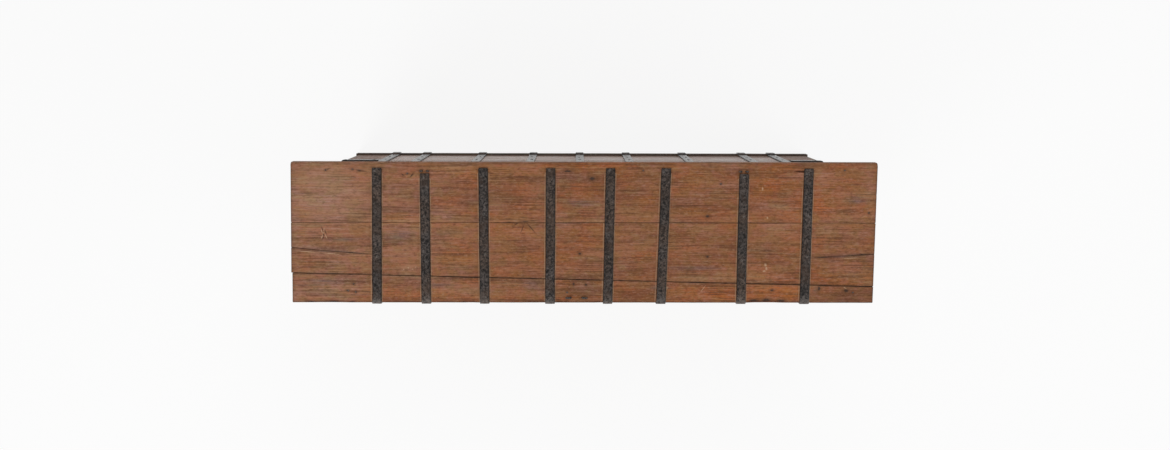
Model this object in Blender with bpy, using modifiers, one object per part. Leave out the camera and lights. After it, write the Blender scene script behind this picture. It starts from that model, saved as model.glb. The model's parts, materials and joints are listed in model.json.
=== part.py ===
"""Console chest: a long iron-bound box of old boards under an overhanging lid.

The lid turns on two pairs of linked eyes at the back, a hasp hangs under its front edge, and a bail handle
hangs at each end. The origin is on the floor under the middle of the chest, the front faces -Y, +Z is up,
and all sizes are in metres.
"""

import math

import bmesh
import bpy
from mathutils import Matrix, Vector

# Clearance between pieces that touch, and between the edges of neighbouring boards
GAP = 0.0003
BOARD_JOINT = 0.0008

# Lid boards
LID_LENGTH = 1.600
LID_DEPTH = 0.388
LID_THICKNESS = 0.030
LID_TOP = 0.800
LID_BACK_BOARD_WIDTH = 0.165
LID_FRONT_BOARD_LEFT_WIDTH = 0.083
LID_FRONT_BOARD_RIGHT_WIDTH = 0.046
LID_FRONT_BOARD_SETBACK = 0.003
LID_BACK_ROUNDING = 0.010
LID_EDGE_ROUNDING = 0.0025

# Battens under the lid, with their places as shares of the lid's length from the left
BATTEN_WIDTH = 0.045
BATTEN_THICKNESS = 0.022
BATTEN_END_CLEARANCE = 0.012
BATTEN_PLACES = {"left": 0.20, "right": 0.80}

# How far the lid reaches past the walls
END_OVERHANG = 0.040
BACK_OVERHANG = 0.040
FRONT_OVERHANG = 0.040

# Walls and floor
WALL_THICKNESS = 0.024
WALL_EDGE_ROUNDING = 0.0012
LONG_WALL_BOARDS = ("lower", "middle", "upper")
END_WALL_BOARDS = ("lower", "upper")
FLOOR_THICKNESS = 0.018
FLOOR_TOP = 0.060

# Plinth, a thin skirting with a chamfered top edge
PLINTH_HEIGHT = 0.045
PLINTH_THICKNESS = 0.0045
PLINTH_CHAMFER = 0.003

# Iron straps, with their places as shares of the length that they cross, from the left
STRAP_WIDTH = 0.026
STRAP_THICKNESS = 0.0035
STRAP_BEND = 0.0015
STRAP_END_CLEARANCE = 0.006
LID_STRAP_PLACES = (0.146, 0.229, 0.329, 0.4425, 0.543, 0.636, 0.7717, 0.8816)
LID_STRAP_SETBACK = 0.0155
LID_STRAP_TURNDOWN = 0.024
BACK_STRAP_PLACES = (0.154, 0.278, 0.391, 0.494, 0.597, 0.722, 0.855)
STRAP_FOOT_CLEARANCE = 0.004

# Iron band round each end, with a strap of its own near the back corner
END_BAND_HEIGHT = 0.280
END_BAND_END_CLEARANCE = 0.010
BACK_CORNER_STRAP_PLACES = (0.086, 0.921)

# Linked hinge eyes, behind the second lid strap from each end
HINGE_PLACES = {"left": LID_STRAP_PLACES[1], "right": LID_STRAP_PLACES[-2]}
HINGE_STRAP_CLEARANCE = 0.004
HINGE_WIRE_RADIUS = 0.0025
HINGE_PLAY = 0.0008
HINGE_STANDOFF = 0.016
HINGE_DROP = 0.016
HINGE_LEG_OFFSET = 0.003
HINGE_CLENCH = 0.005

# Hasp, its hanger under the lid and its staple in the front wall
HASP_PLACE = 0.4875
HASP_STANDOFF = 0.026
HANGER_WIRE_RADIUS = 0.003
HANGER_HALF_SPAN = 0.016
HANGER_CORNER = 0.0045
HANGER_DROP = 0.011
HANGER_CLENCH = 0.012
HASP_THICKNESS = 0.004
HASP_WIDTH = 0.034
HASP_LENGTH = 0.110
HASP_NECK_WIDTH = 0.020
HASP_NECK_LENGTH = 0.018
HASP_EYE_WALL = 0.003
HASP_EYE_PLAY = 0.0006
HASP_SLOT_WIDTH = 0.010
HASP_SLOT_LENGTH = 0.030
HASP_SLOT_DEPTH = 0.098
STAPLE_WIRE_RADIUS = 0.0028
STAPLE_HALF_SPAN = 0.008
STAPLE_TIP_CLEARANCE = 0.0025
STAPLE_CLENCH = 0.012

# Bail handles and their eyes
HANDLE_HEIGHT = 0.500
HANDLE_SPREAD = 0.136
HANDLE_STANDOFF = 0.018
HANDLE_EYE_WIRE_RADIUS = 0.003
HANDLE_EYE_PLAY = 0.0008
HANDLE_EYE_LEG_OFFSET = 0.0036
HANDLE_EYE_CLENCH = 0.012
BAIL_RADIUS = 0.004
BAIL_DROP = 0.055
BAIL_TOP_BEND = 0.008
BAIL_LOW_BEND = 0.016
BAIL_EYE_CLEARANCE = 0.0015
BAIL_TAIL = 0.012
BAIL_HEAD_GROWTH = 1.45
BAIL_HEAD_LENGTH = 0.004

# Shape of a clenched eye: angles, and how much wider than its wire a bend or a hole is
RING_THROAT = math.radians(140)
STAPLE_THROAT = math.radians(90)
NECK_SHARE = 1.6
BEND_SHARE = 1.3
HOLE_CLEARANCE = 0.0006
HOLE_SIDES = 16
ARC_STEP = math.radians(18)

# Length of a cutter in thicknesses of the piece that it goes through
CUT_THROUGH = 3

# Places that follow from the sizes above
FRONT_TO_BACK_SHIFT = (STRAP_THICKNESS + GAP) / 2
LID_FRONT = -LID_DEPTH / 2 + FRONT_TO_BACK_SHIFT
LID_BACK = LID_DEPTH / 2 + FRONT_TO_BACK_SHIFT
LID_UNDERSIDE = LID_TOP - LID_THICKNESS
WALL_TOP = LID_UNDERSIDE - GAP
WALL_END = LID_LENGTH / 2 - END_OVERHANG
WALL_FRONT = LID_FRONT + FRONT_OVERHANG
WALL_BACK = LID_BACK - BACK_OVERHANG
INNER_END = WALL_END - WALL_THICKNESS
INNER_FRONT = WALL_FRONT + WALL_THICKNESS
INNER_BACK = WALL_BACK - WALL_THICKNESS
LID_STRAP_X = [(share - 0.5) * LID_LENGTH for share in LID_STRAP_PLACES]
BACK_STRAP_X = [(share - 0.5) * 2 * WALL_END for share in BACK_STRAP_PLACES]
BACK_CORNER_STRAP_X = [(share - 0.5) * 2 * WALL_END for share in BACK_CORNER_STRAP_PLACES]
HINGE_Y = WALL_BACK + HINGE_STANDOFF
HINGE_Z = LID_UNDERSIDE - HINGE_DROP
HINGE_X = {side: (share - 0.5) * LID_LENGTH for side, share in HINGE_PLACES.items()}
HASP_X = (HASP_PLACE - 0.5) * LID_LENGTH
HASP_Y = WALL_FRONT - HASP_STANDOFF
HASP_Z = LID_UNDERSIDE - HANGER_DROP
STAPLE_Z = HASP_Z - HASP_SLOT_DEPTH
HANDLE_X = WALL_END + HANDLE_STANDOFF
END_SIGNS = {"left": -1, "right": 1}

# Directions in which an eye stands out of its board
RIGHT = Vector((1, 0, 0))
BACKWARD = Vector((0, 1, 0))
UP = Vector((0, 0, 1))


def clear_scene():
    for obj in list(bpy.data.objects):
        bpy.data.objects.remove(obj)


def new_collection(name):
    collection = bpy.data.collections.new(name)
    bpy.context.scene.collection.children.link(collection)
    return collection


def new_material(name, colour, roughness, metallic):
    material = bpy.data.materials.new(name)
    material.use_nodes = True
    shader = material.node_tree.nodes["Principled BSDF"]
    shader.inputs["Base Color"].default_value = (*colour, 1)
    shader.inputs["Roughness"].default_value = roughness
    shader.inputs["Metallic"].default_value = metallic
    return material


clear_scene()
PARTS = new_collection("console_chest")
CUTTERS = new_collection("cutters")
LID_WOOD = new_material("lid wood", (0.26, 0.11, 0.055), 0.6, 0.0)
WALL_WOOD = new_material("wall wood", (0.22, 0.095, 0.05), 0.65, 0.0)
PLINTH_WOOD = new_material("plinth wood", (0.06, 0.04, 0.03), 0.6, 0.0)
IRON = new_material("iron", (0.055, 0.055, 0.06), 0.55, 0.9)


# Objects and their parents


def world_place(obj):
    """Where an unrotated chain of parents puts the object."""
    return obj.location + (world_place(obj.parent) if obj.parent else Vector())


def add_pivot(name, place, parent=None):
    """An empty on a joint's axis, which carries the pieces that turn there."""
    pivot = bpy.data.objects.new(name, None)
    PARTS.objects.link(pivot)
    pivot.parent = parent
    pivot.location = Vector(place) - (world_place(parent) if parent else Vector())
    return pivot


def add_part(name, data, place, material, parent=None):
    part = bpy.data.objects.new(name, data)
    PARTS.objects.link(part)
    data.materials.append(material)
    part.parent = parent
    part.location = Vector(place) - (world_place(parent) if parent else Vector())
    return part


def add_cutter(name, mesh, place, parent=None):
    cutter = bpy.data.objects.new(name, mesh)
    CUTTERS.objects.link(cutter)
    cutter.hide_render = True
    cutter.display_type = "WIRE"
    cutter.parent = parent
    cutter.location = Vector(place) - (world_place(parent) if parent else Vector())
    return cutter


def combine(part, other, operation):
    boolean = part.modifiers.new(other.name, "BOOLEAN")
    boolean.operation = operation
    boolean.object = other


def round_edges(part, width):
    bevel = part.modifiers.new("eased edges", "BEVEL")
    bevel.width = width
    bevel.segments = 1
    bevel.limit_method = "ANGLE"


# Shapes


def mesh_from(name, build):
    """A mesh filled by a function that works on a bmesh."""
    shape = bmesh.new()
    build(shape)
    mesh = bpy.data.meshes.new(name)
    shape.to_mesh(mesh)
    shape.free()
    return mesh


def box_mesh(name, size):
    def build(shape):
        bmesh.ops.create_cube(shape, size=1, matrix=Matrix.Diagonal((*size, 1)))

    return mesh_from(name, build)


def rod_mesh(name, radius, length, axis, places=((0, 0, 0),)):
    """Round rods along an axis, one at each place."""

    def build(shape):
        turn = UP.rotation_difference(axis).to_matrix().to_4x4()
        for place in places:
            bmesh.ops.create_cone(
                shape,
                cap_ends=True,
                segments=HOLE_SIDES,
                radius1=radius,
                radius2=radius,
                depth=length,
                matrix=Matrix.Translation(place) @ turn,
            )

    return mesh_from(name, build)


def arc(centre, radius, start, end):
    """Points on an arc in a plane, both ends included."""
    count = max(2, math.ceil(abs(end - start) / ARC_STEP))
    angles = [start + (end - start) * step / count for step in range(count + 1)]
    return [(centre[0] + radius * math.cos(a), centre[1] + radius * math.sin(a)) for a in angles]


def outline_mesh(name, loops, thickness):
    """A flat piece from closed outlines in its own XY plane. Outlines inside the first one are holes."""
    curve = bpy.data.curves.new(name, "CURVE")
    curve.dimensions = "2D"
    curve.fill_mode = "BOTH"
    curve.extrude = thickness / 2
    for loop in loops:
        spline = curve.splines.new("POLY")
        spline.points.add(len(loop) - 1)
        for point, (x, y) in zip(spline.points, loop):
            point.co = (x, y, 0, 1)
        spline.use_cyclic_u = True
    guide = bpy.data.objects.new(name, curve)
    CUTTERS.objects.link(guide)
    graph = bpy.context.evaluated_depsgraph_get()
    mesh = bpy.data.meshes.new_from_object(guide.evaluated_get(graph))
    bpy.data.objects.remove(guide)
    welded = bmesh.new()
    welded.from_mesh(mesh)
    bmesh.ops.remove_doubles(welded, verts=welded.verts, dist=GAP / 10)
    bmesh.ops.recalc_face_normals(welded, faces=welded.faces)
    welded.to_mesh(mesh)
    welded.free()
    return mesh


def bar_mesh(name, profile, length):
    """A bar along X with a profile of (y, z) points."""
    mesh = outline_mesh(name, [profile], length)
    mesh.transform(Matrix(((0, 0, 1, 0), (1, 0, 0, 0), (0, 1, 0, 0), (0, 0, 0, 1))))
    return mesh


def wire_curve(name, points, radius):
    """A round wire through points, given with a share of the radius as a fourth number where it swells."""
    curve = bpy.data.curves.new(name, "CURVE")
    curve.dimensions = "3D"
    curve.bevel_depth = radius
    curve.bevel_resolution = 2
    curve.use_fill_caps = True
    spline = curve.splines.new("POLY")
    spline.points.add(len(points) - 1)
    for point, (place, swell) in zip(spline.points, points):
        point.co = (*place, 1)
        point.radius = swell
    return curve


def mirrored(half):
    """A path through points given from its middle to one end, with the other half added."""
    return [(out, -across) for out, across in reversed(half[1:])] + half


def eye_path(ring, reach, wall, wire, clench, flat=0.0, leg=None):
    """A wire bent into an eye, whose two legs pass through a board and are clenched on its far side.

    Points are (distance out of the board, distance across). The ring's centre stands at reach. flat is
    half the straight stretch in a square staple, and leg the distance of each leg from the middle, where the
    ring is drawn in to it.
    """
    leg_offset = flat + ring if leg is None else leg
    throat = STAPLE_THROAT if leg is None else RING_THROAT
    half = [(reach + ring, 0.0)] if flat else []
    half += [(reach + along, flat + across) for along, across in arc((0, 0), ring, 0, throat)]
    if leg is not None:
        half.append((reach - NECK_SHARE * ring, leg_offset))
    bend = BEND_SHARE * wire
    turn = arc((0, leg_offset + bend), bend, -math.pi / 2, 0)
    half += [(-wall - along, across) for along, across in turn]
    half.append((-wall - bend, leg_offset + bend + clench))
    return mirrored(half)


def add_eye(name, path, wire, place, out, across, parent=None):
    """An eye on a board's face that stands out along one direction, its legs side by side along another."""
    points = [(out * away + across * side, 1.0) for away, side in path]
    return add_part(name, wire_curve(name, points, wire), place, IRON, parent)


def strip_faces(shape, path, along, away, place=(0, 0, 0)):
    """The inner face of a flat bar, bent along (along, away) points with its outer side on their left."""
    across = along.cross(away)
    start = Vector(place) - across * (STRAP_WIDTH / 2)
    verts = [shape.verts.new(start + along * a + away * b) for a, b in path]
    edges = [shape.edges.new(pair) for pair in zip(verts, verts[1:])]
    made = bmesh.ops.extrude_edge_only(shape, edges=edges)["geom"]
    moved = [item for item in made if isinstance(item, bmesh.types.BMVert)]
    bmesh.ops.translate(shape, verts=moved, vec=across * STRAP_WIDTH)


def add_flat_bars(name, build, place, parent=None):
    """A piece of flat bar, whose inner faces a function makes."""
    part = add_part(name, mesh_from(name, build), place, IRON, parent)
    solidify = part.modifiers.new("iron thickness", "SOLIDIFY")
    solidify.thickness = STRAP_THICKNESS
    solidify.offset = 1
    solidify.use_even_offset = True
    return part


def add_strap(name, path, along, away, place, parent=None):
    def build(shape):
        strip_faces(shape, path, along, away)

    return add_flat_bars(name, build, place, parent)


# Lid


def add_board(name, low, high, material, rounding, parent=None):
    """A straight board between two corners."""
    low, high = Vector(low), Vector(high)
    board = add_part(name, box_mesh(name, high - low), (low + high) / 2, material, parent)
    round_edges(board, rounding)
    return board


def add_lid_boards(pivot):
    """A back board with a rounded edge, and a middle and a front one that meet along a slanting joint."""
    half = LID_LENGTH / 2
    back_joint = LID_BACK - LID_BACK_BOARD_WIDTH
    left_joint = LID_FRONT + LID_FRONT_BOARD_LEFT_WIDTH
    right_joint = LID_FRONT + LID_FRONT_BOARD_RIGHT_WIDTH
    space = BOARD_JOINT / 2
    setback = -half + LID_FRONT_BOARD_SETBACK
    rounding = LID_BACK_ROUNDING
    rounded = arc((LID_BACK - rounding, LID_THICKNESS / 2 - rounding), rounding, 0, math.pi / 2)
    back = [(LID_BACK, -LID_THICKNESS / 2)] + rounded
    back += [(back_joint + space, LID_THICKNESS / 2), (back_joint + space, -LID_THICKNESS / 2)]
    middle = [
        (-half, left_joint + space),
        (half, right_joint + space),
        (half, back_joint - space),
        (-half, back_joint - space),
    ]
    front = [
        (setback, LID_FRONT),
        (half, LID_FRONT),
        (half, right_joint - space),
        (setback, left_joint - space),
    ]
    meshes = {
        "back": bar_mesh("lid_board_back", back, LID_LENGTH),
        "middle": outline_mesh("lid_board_middle", [middle], LID_THICKNESS),
        "front": outline_mesh("lid_board_front", [front], LID_THICKNESS),
    }
    centre = (0, 0, LID_UNDERSIDE + LID_THICKNESS / 2)
    boards = {}
    for place, mesh in meshes.items():
        boards[place] = add_part(mesh.name, mesh, centre, LID_WOOD, pivot)
        round_edges(boards[place], LID_EDGE_ROUNDING)
    return boards


def add_battens(pivot):
    for side, share in BATTEN_PLACES.items():
        x = (share - 0.5) * LID_LENGTH
        top = LID_UNDERSIDE - GAP
        low = (x - BATTEN_WIDTH / 2, INNER_FRONT + BATTEN_END_CLEARANCE, top - BATTEN_THICKNESS)
        high = (x + BATTEN_WIDTH / 2, INNER_BACK - BATTEN_END_CLEARANCE, top)
        add_board(f"lid_batten_{side}", low, high, WALL_WOOD, WALL_EDGE_ROUNDING, pivot)


def add_lid_straps(pivot):
    """Flat bars across the lid, turned down over its front edge. Two stop short of the hinge eyes' ends."""
    hinge_end = HINGE_Y - HINGE_WIRE_RADIUS - HINGE_STRAP_CLEARANCE
    for number, x in enumerate(LID_STRAP_X, 1):
        back_end = hinge_end if x in HINGE_X.values() else LID_BACK - LID_STRAP_SETBACK
        front = LID_FRONT - GAP
        top = LID_TOP + GAP
        bend = arc((front + STRAP_BEND, top - STRAP_BEND), STRAP_BEND, math.pi, math.pi / 2)
        path = [(front, LID_TOP - LID_STRAP_TURNDOWN)] + bend + [(back_end, top)]
        add_strap(f"lid_strap_{number}", path, BACKWARD, UP, (x, 0, 0), pivot)


# Hinges of linked eyes


def add_hinges(pivot, lid_board, wall_board):
    """On each side an eye clenched through the back wall holds a second one, clenched through the lid."""
    wire = HINGE_WIRE_RADIUS
    lid_half_span = 2 * wire + HINGE_PLAY
    sag = lid_half_span - math.sqrt(lid_half_span**2 - wire**2)
    ring = 2 * wire + sag + HINGE_PLAY
    lid_path = eye_path(lid_half_span, HINGE_DROP - lid_half_span, LID_THICKNESS, wire, HINGE_CLENCH)
    wall_path = eye_path(
        ring, HINGE_STANDOFF, WALL_THICKNESS, wire, HINGE_CLENCH, leg=HINGE_LEG_OFFSET
    )
    hole = wire + HOLE_CLEARANCE
    for side, x in HINGE_X.items():
        lid_place = (x, HINGE_Y, LID_UNDERSIDE)
        wall_place = (x, WALL_BACK, HINGE_Z)
        add_eye(f"hinge_eye_lid_{side}", lid_path, wire, lid_place, -UP, RIGHT, pivot)
        add_eye(f"hinge_eye_wall_{side}", wall_path, wire, wall_place, BACKWARD, UP)
        legs = [(lid_half_span, 0, 0), (-lid_half_span, 0, 0)]
        lid_holes = rod_mesh(f"lid_hinge_holes_{side}", hole, CUT_THROUGH * LID_THICKNESS, UP, legs)
        combine(lid_board, add_cutter(lid_holes.name, lid_holes, lid_place, pivot), "DIFFERENCE")
        mortise_size = (2 * hole, CUT_THROUGH * WALL_THICKNESS, 2 * (HINGE_LEG_OFFSET + hole))
        mortise = box_mesh(f"wall_hinge_mortise_{side}", mortise_size)
        combine(wall_board, add_cutter(mortise.name, mortise, wall_place), "DIFFERENCE")


# Hasp


def add_hasp_hanger(pivot, lid_board):
    """A square staple, clenched through the lid, with a straight bar for the hasp to turn on."""
    wire = HANGER_WIRE_RADIUS
    flat = HANGER_HALF_SPAN - HANGER_CORNER
    path = eye_path(
        HANGER_CORNER, HANGER_DROP - HANGER_CORNER, LID_THICKNESS, wire, HANGER_CLENCH, flat=flat
    )
    place = (HASP_X, HASP_Y, LID_UNDERSIDE)
    add_eye("hasp_hanger", path, wire, place, -UP, RIGHT, pivot)
    legs = [(HANGER_HALF_SPAN, 0, 0), (-HANGER_HALF_SPAN, 0, 0)]
    holes = rod_mesh("hanger_holes", wire + HOLE_CLEARANCE, CUT_THROUGH * LID_THICKNESS, UP, legs)
    combine(lid_board, add_cutter(holes.name, holes, place, pivot), "DIFFERENCE")


def add_hasp(pivot):
    """A plate with a round end and a slot, rolled into the eye that it hangs from."""
    half, neck = HASP_WIDTH / 2, HASP_NECK_WIDTH / 2
    shoulder = HASP_NECK_LENGTH + half - neck
    round_end = arc((0, -HASP_LENGTH), half, math.pi, 2 * math.pi)
    plate = [(neck, 0), (-neck, 0), (-neck, -HASP_NECK_LENGTH), (-half, -shoulder)] + round_end
    plate += [(half, -shoulder), (neck, -HASP_NECK_LENGTH)]
    slot_radius = HASP_SLOT_WIDTH / 2
    slot_reach = HASP_SLOT_LENGTH / 2 - slot_radius
    slot = arc((0, slot_reach - HASP_SLOT_DEPTH), slot_radius, 0, math.pi)
    slot += arc((0, -slot_reach - HASP_SLOT_DEPTH), slot_radius, math.pi, 2 * math.pi)
    mesh = outline_mesh("hasp", [plate, slot], HASP_THICKNESS)
    mesh.transform(Matrix.Rotation(math.pi / 2, 4, RIGHT))
    place = (HASP_X, HASP_Y, HASP_Z)
    hasp = add_part("hasp", mesh, place, IRON, pivot)
    bore = HANGER_WIRE_RADIUS + HASP_EYE_PLAY
    eye = rod_mesh("hasp_eye", bore + HASP_EYE_WALL, HASP_NECK_WIDTH, RIGHT)
    hole = rod_mesh("hasp_bore", bore, CUT_THROUGH * HASP_NECK_WIDTH, RIGHT)
    combine(hasp, add_cutter("hasp_eye", eye, place, pivot), "UNION")
    combine(hasp, add_cutter("hasp_bore", hole, place, pivot), "DIFFERENCE")


def add_lock_staple(wall_board):
    """A staple clenched through the front wall, whose tip ends just behind the hanging hasp."""
    wire = STAPLE_WIRE_RADIUS
    tip = HASP_STANDOFF - HASP_THICKNESS / 2 - STAPLE_TIP_CLEARANCE - wire
    path = eye_path(
        STAPLE_HALF_SPAN, tip - STAPLE_HALF_SPAN, WALL_THICKNESS, wire, STAPLE_CLENCH
    )
    place = (HASP_X, WALL_FRONT, STAPLE_Z)
    add_eye("lock_staple", path, wire, place, -BACKWARD, UP)
    legs = [(0, 0, STAPLE_HALF_SPAN), (0, 0, -STAPLE_HALF_SPAN)]
    length = CUT_THROUGH * WALL_THICKNESS
    holes = rod_mesh("staple_holes", wire + HOLE_CLEARANCE, length, BACKWARD, legs)
    combine(wall_board, add_cutter(holes.name, holes, place), "DIFFERENCE")


# Handles


def bail_points():
    """One bail in its hanging plane, as points (across, down) with the share of its radius at each."""
    eye = HANDLE_SPREAD / 2
    leg = eye - HANDLE_EYE_WIRE_RADIUS - BAIL_EYE_CLEARANCE - BAIL_TOP_BEND
    low = arc((leg - BAIL_LOW_BEND, -BAIL_DROP + BAIL_LOW_BEND), BAIL_LOW_BEND, -math.pi / 2, 0)
    top = arc((leg + BAIL_TOP_BEND, -BAIL_TOP_BEND), BAIL_TOP_BEND, math.pi, math.pi / 2)
    end = eye + BAIL_TAIL
    half = [(0.0, -BAIL_DROP)] + low + top + [(end - BAIL_HEAD_LENGTH, 0.0)]
    swelled = [(place, 1.0) for place in half] + [((end, 0.0), BAIL_HEAD_GROWTH)]
    other_half = [((-place[0], place[1]), swell) for place, swell in reversed(swelled[1:])]
    return other_half + swelled


def add_handle(side, pivot, wall_board):
    """A bail that turns in two eyes, which are clenched through the end wall."""
    sign = END_SIGNS[side]
    wire = HANDLE_EYE_WIRE_RADIUS
    ring = BAIL_RADIUS + HANDLE_EYE_PLAY + wire
    path = eye_path(
        ring, HANDLE_STANDOFF, WALL_THICKNESS, wire, HANDLE_EYE_CLENCH, leg=HANDLE_EYE_LEG_OFFSET
    )
    hole = wire + HOLE_CLEARANCE
    mortise_size = (CUT_THROUGH * WALL_THICKNESS, 2 * hole, 2 * (HANDLE_EYE_LEG_OFFSET + hole))
    for end, y in {"front": -HANDLE_SPREAD / 2, "back": HANDLE_SPREAD / 2}.items():
        place = (sign * WALL_END, (INNER_FRONT + INNER_BACK) / 2 + y, HANDLE_HEIGHT)
        add_eye(f"handle_eye_{side}_{end}", path, wire, place, sign * RIGHT, UP)
        mortise = box_mesh(f"handle_mortise_{side}_{end}", mortise_size)
        combine(wall_board, add_cutter(mortise.name, mortise, place), "DIFFERENCE")
    points = [(BACKWARD * across + UP * down, swell) for (across, down), swell in bail_points()]
    curve = wire_curve(f"handle_{side}", points, BAIL_RADIUS)
    add_part(f"handle_{side}", curve, world_place(pivot), IRON, pivot)


# Walls, floor and plinth


def add_wall(name, board_names, low, high):
    """Boards of equal height, one above another, between two corners."""
    boards = {}
    height = (high[2] - low[2] + BOARD_JOINT) / len(board_names)
    for number, board_name in enumerate(board_names):
        foot = low[2] + number * height
        board_low = (low[0], low[1], foot)
        board_high = (high[0], high[1], foot + height - BOARD_JOINT)
        full_name = f"{name}_board_{board_name}"
        boards[board_name] = add_board(full_name, board_low, board_high, WALL_WOOD, WALL_EDGE_ROUNDING)
    return boards


def add_walls():
    """Long walls over the full length, with the end walls between them."""
    walls = {
        "front": add_wall(
            "front", LONG_WALL_BOARDS, (-WALL_END, WALL_FRONT, 0), (WALL_END, INNER_FRONT, WALL_TOP)
        ),
        "back": add_wall(
            "back", LONG_WALL_BOARDS, (-WALL_END, INNER_BACK, 0), (WALL_END, WALL_BACK, WALL_TOP)
        ),
    }
    for side, sign in END_SIGNS.items():
        x_low, x_high = sorted((sign * INNER_END, sign * WALL_END))
        low = (x_low, INNER_FRONT + GAP, 0)
        high = (x_high, INNER_BACK - GAP, WALL_TOP)
        walls[side] = add_wall(f"{side}_end", END_WALL_BOARDS, low, high)
    return walls


def add_floor():
    """Two boards side by side, nailed between the walls."""
    middle = (INNER_FRONT + INNER_BACK) / 2
    spans = {
        "front": (INNER_FRONT + GAP, middle - BOARD_JOINT / 2),
        "back": (middle + BOARD_JOINT / 2, INNER_BACK - GAP),
    }
    for place, (near, far) in spans.items():
        low = (-INNER_END + GAP, near, FLOOR_TOP - FLOOR_THICKNESS)
        high = (INNER_END - GAP, far, FLOOR_TOP)
        add_board(f"floor_board_{place}", low, high, WALL_WOOD, WALL_EDGE_ROUNDING)


def plinth_mesh(name, half_length):
    """A moulding along X that stands out along Y from its wall, with both ends mitred."""
    thickness, height, chamfer = PLINTH_THICKNESS, PLINTH_HEIGHT, PLINTH_CHAMFER
    profile = [(0, 0), (thickness, 0), (thickness, height - chamfer)]
    profile += [(thickness - chamfer, height), (0, height)]
    mesh = bar_mesh(name, profile, 2 * half_length)
    for vertex in mesh.vertices:
        vertex.co.x += math.copysign(vertex.co.y, vertex.co.x)
    return mesh


def add_plinth():
    """Four mouldings round the foot of the walls."""
    middle = (WALL_FRONT + WALL_BACK) / 2
    sides = {
        "back": (WALL_END, (0, WALL_BACK + GAP, 0), 0),
        "left": ((WALL_BACK - WALL_FRONT) / 2, (-WALL_END - GAP, middle, 0), math.pi / 2),
        "front": (WALL_END, (0, WALL_FRONT - GAP, 0), math.pi),
        "right": ((WALL_BACK - WALL_FRONT) / 2, (WALL_END + GAP, middle, 0), -math.pi / 2),
    }
    for side, (half_length, place, turn) in sides.items():
        name = f"plinth_{side}"
        plinth = add_part(name, plinth_mesh(name, half_length), place, PLINTH_WOOD)
        plinth.rotation_euler.z = turn


# Irons on the walls


def wall_strap_path(*marks):
    """Up the plinth, in along its chamfer and up the wall, as (height, distance out) points.

    Marks are more heights on the wall at which the path gets a point.
    """
    face = GAP
    plinth_face = PLINTH_THICKNESS + 2 * GAP
    slope_foot = PLINTH_HEIGHT - PLINTH_CHAMFER + GAP
    slope_head = slope_foot + plinth_face - face
    top = WALL_TOP - STRAP_END_CLEARANCE
    on_plinth = [(STRAP_FOOT_CLEARANCE, plinth_face), (slope_foot, plinth_face)]
    return on_plinth + [(height, face) for height in (slope_head, *marks, top)]


def add_wall_straps():
    for number, x in enumerate(LID_STRAP_X, 1):
        add_strap(f"front_strap_{number}", wall_strap_path(), UP, -BACKWARD, (x, WALL_FRONT, 0))
    for number, x in enumerate(BACK_STRAP_X, 1):
        add_strap(f"back_strap_{number}", wall_strap_path(), UP, BACKWARD, (x, WALL_BACK, 0))


def add_end_band(side, front_strap_x, upright_x):
    """A band round an end, from near the last front strap to a strap that it is forged to on the back."""
    sign = END_SIGNS[side]
    half = STRAP_WIDTH / 2
    front, back, end = WALL_FRONT - GAP, WALL_BACK + GAP, WALL_END + GAP
    front_turn = arc((front + STRAP_BEND, end - STRAP_BEND), STRAP_BEND, math.pi, math.pi / 2)
    back_turn = arc((back - STRAP_BEND, end - STRAP_BEND), STRAP_BEND, math.pi / 2, 0)
    front_end = (front, abs(front_strap_x) + half + END_BAND_END_CLEARANCE)
    band = [front_end] + front_turn + back_turn + [(back, abs(upright_x) + half)]
    upright = wall_strap_path(END_BAND_HEIGHT - half, END_BAND_HEIGHT + half)

    def build(shape):
        strip_faces(shape, band, BACKWARD, sign * RIGHT, (0, 0, END_BAND_HEIGHT))
        strip_faces(shape, upright, UP, BACKWARD, (upright_x, WALL_BACK, 0))
        bmesh.ops.remove_doubles(shape, verts=shape.verts, dist=GAP / 10)

    add_flat_bars(f"end_band_{side}", build, (0, 0, 0))


def add_end_bands():
    add_end_band("left", LID_STRAP_X[0], BACK_CORNER_STRAP_X[0])
    add_end_band("right", LID_STRAP_X[-1], BACK_CORNER_STRAP_X[-1])


def build_chest():
    walls = add_walls()
    add_floor()
    add_plinth()
    add_wall_straps()
    add_end_bands()
    lid_pivot = add_pivot("lid_axis", (0, HINGE_Y, HINGE_Z))
    hasp_pivot = add_pivot("hasp_axis", (HASP_X, HASP_Y, HASP_Z), lid_pivot)
    lid_boards = add_lid_boards(lid_pivot)
    add_battens(lid_pivot)
    add_lid_straps(lid_pivot)
    add_hinges(lid_pivot, lid_boards["back"], walls["back"]["upper"])
    add_hasp_hanger(lid_pivot, lid_boards["front"])
    add_hasp(hasp_pivot)
    add_lock_staple(walls["front"]["upper"])
    for side, sign in END_SIGNS.items():
        place = (sign * HANDLE_X, (INNER_FRONT + INNER_BACK) / 2, HANDLE_HEIGHT)
        add_handle(side, add_pivot(f"handle_{side}_axis", place), walls[side]["upper"])


build_chest()
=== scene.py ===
"""Looks of the console chest: old planks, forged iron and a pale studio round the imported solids.

Places and sizes are in metres, in the frame of the solids: the origin is on the floor, the front faces -Y
and +Z is up.
"""

import json
import random
from collections import namedtuple
from math import cos, exp, pi, radians, sin, tan, tau

import bmesh
import bpy
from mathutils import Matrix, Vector, noise


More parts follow.
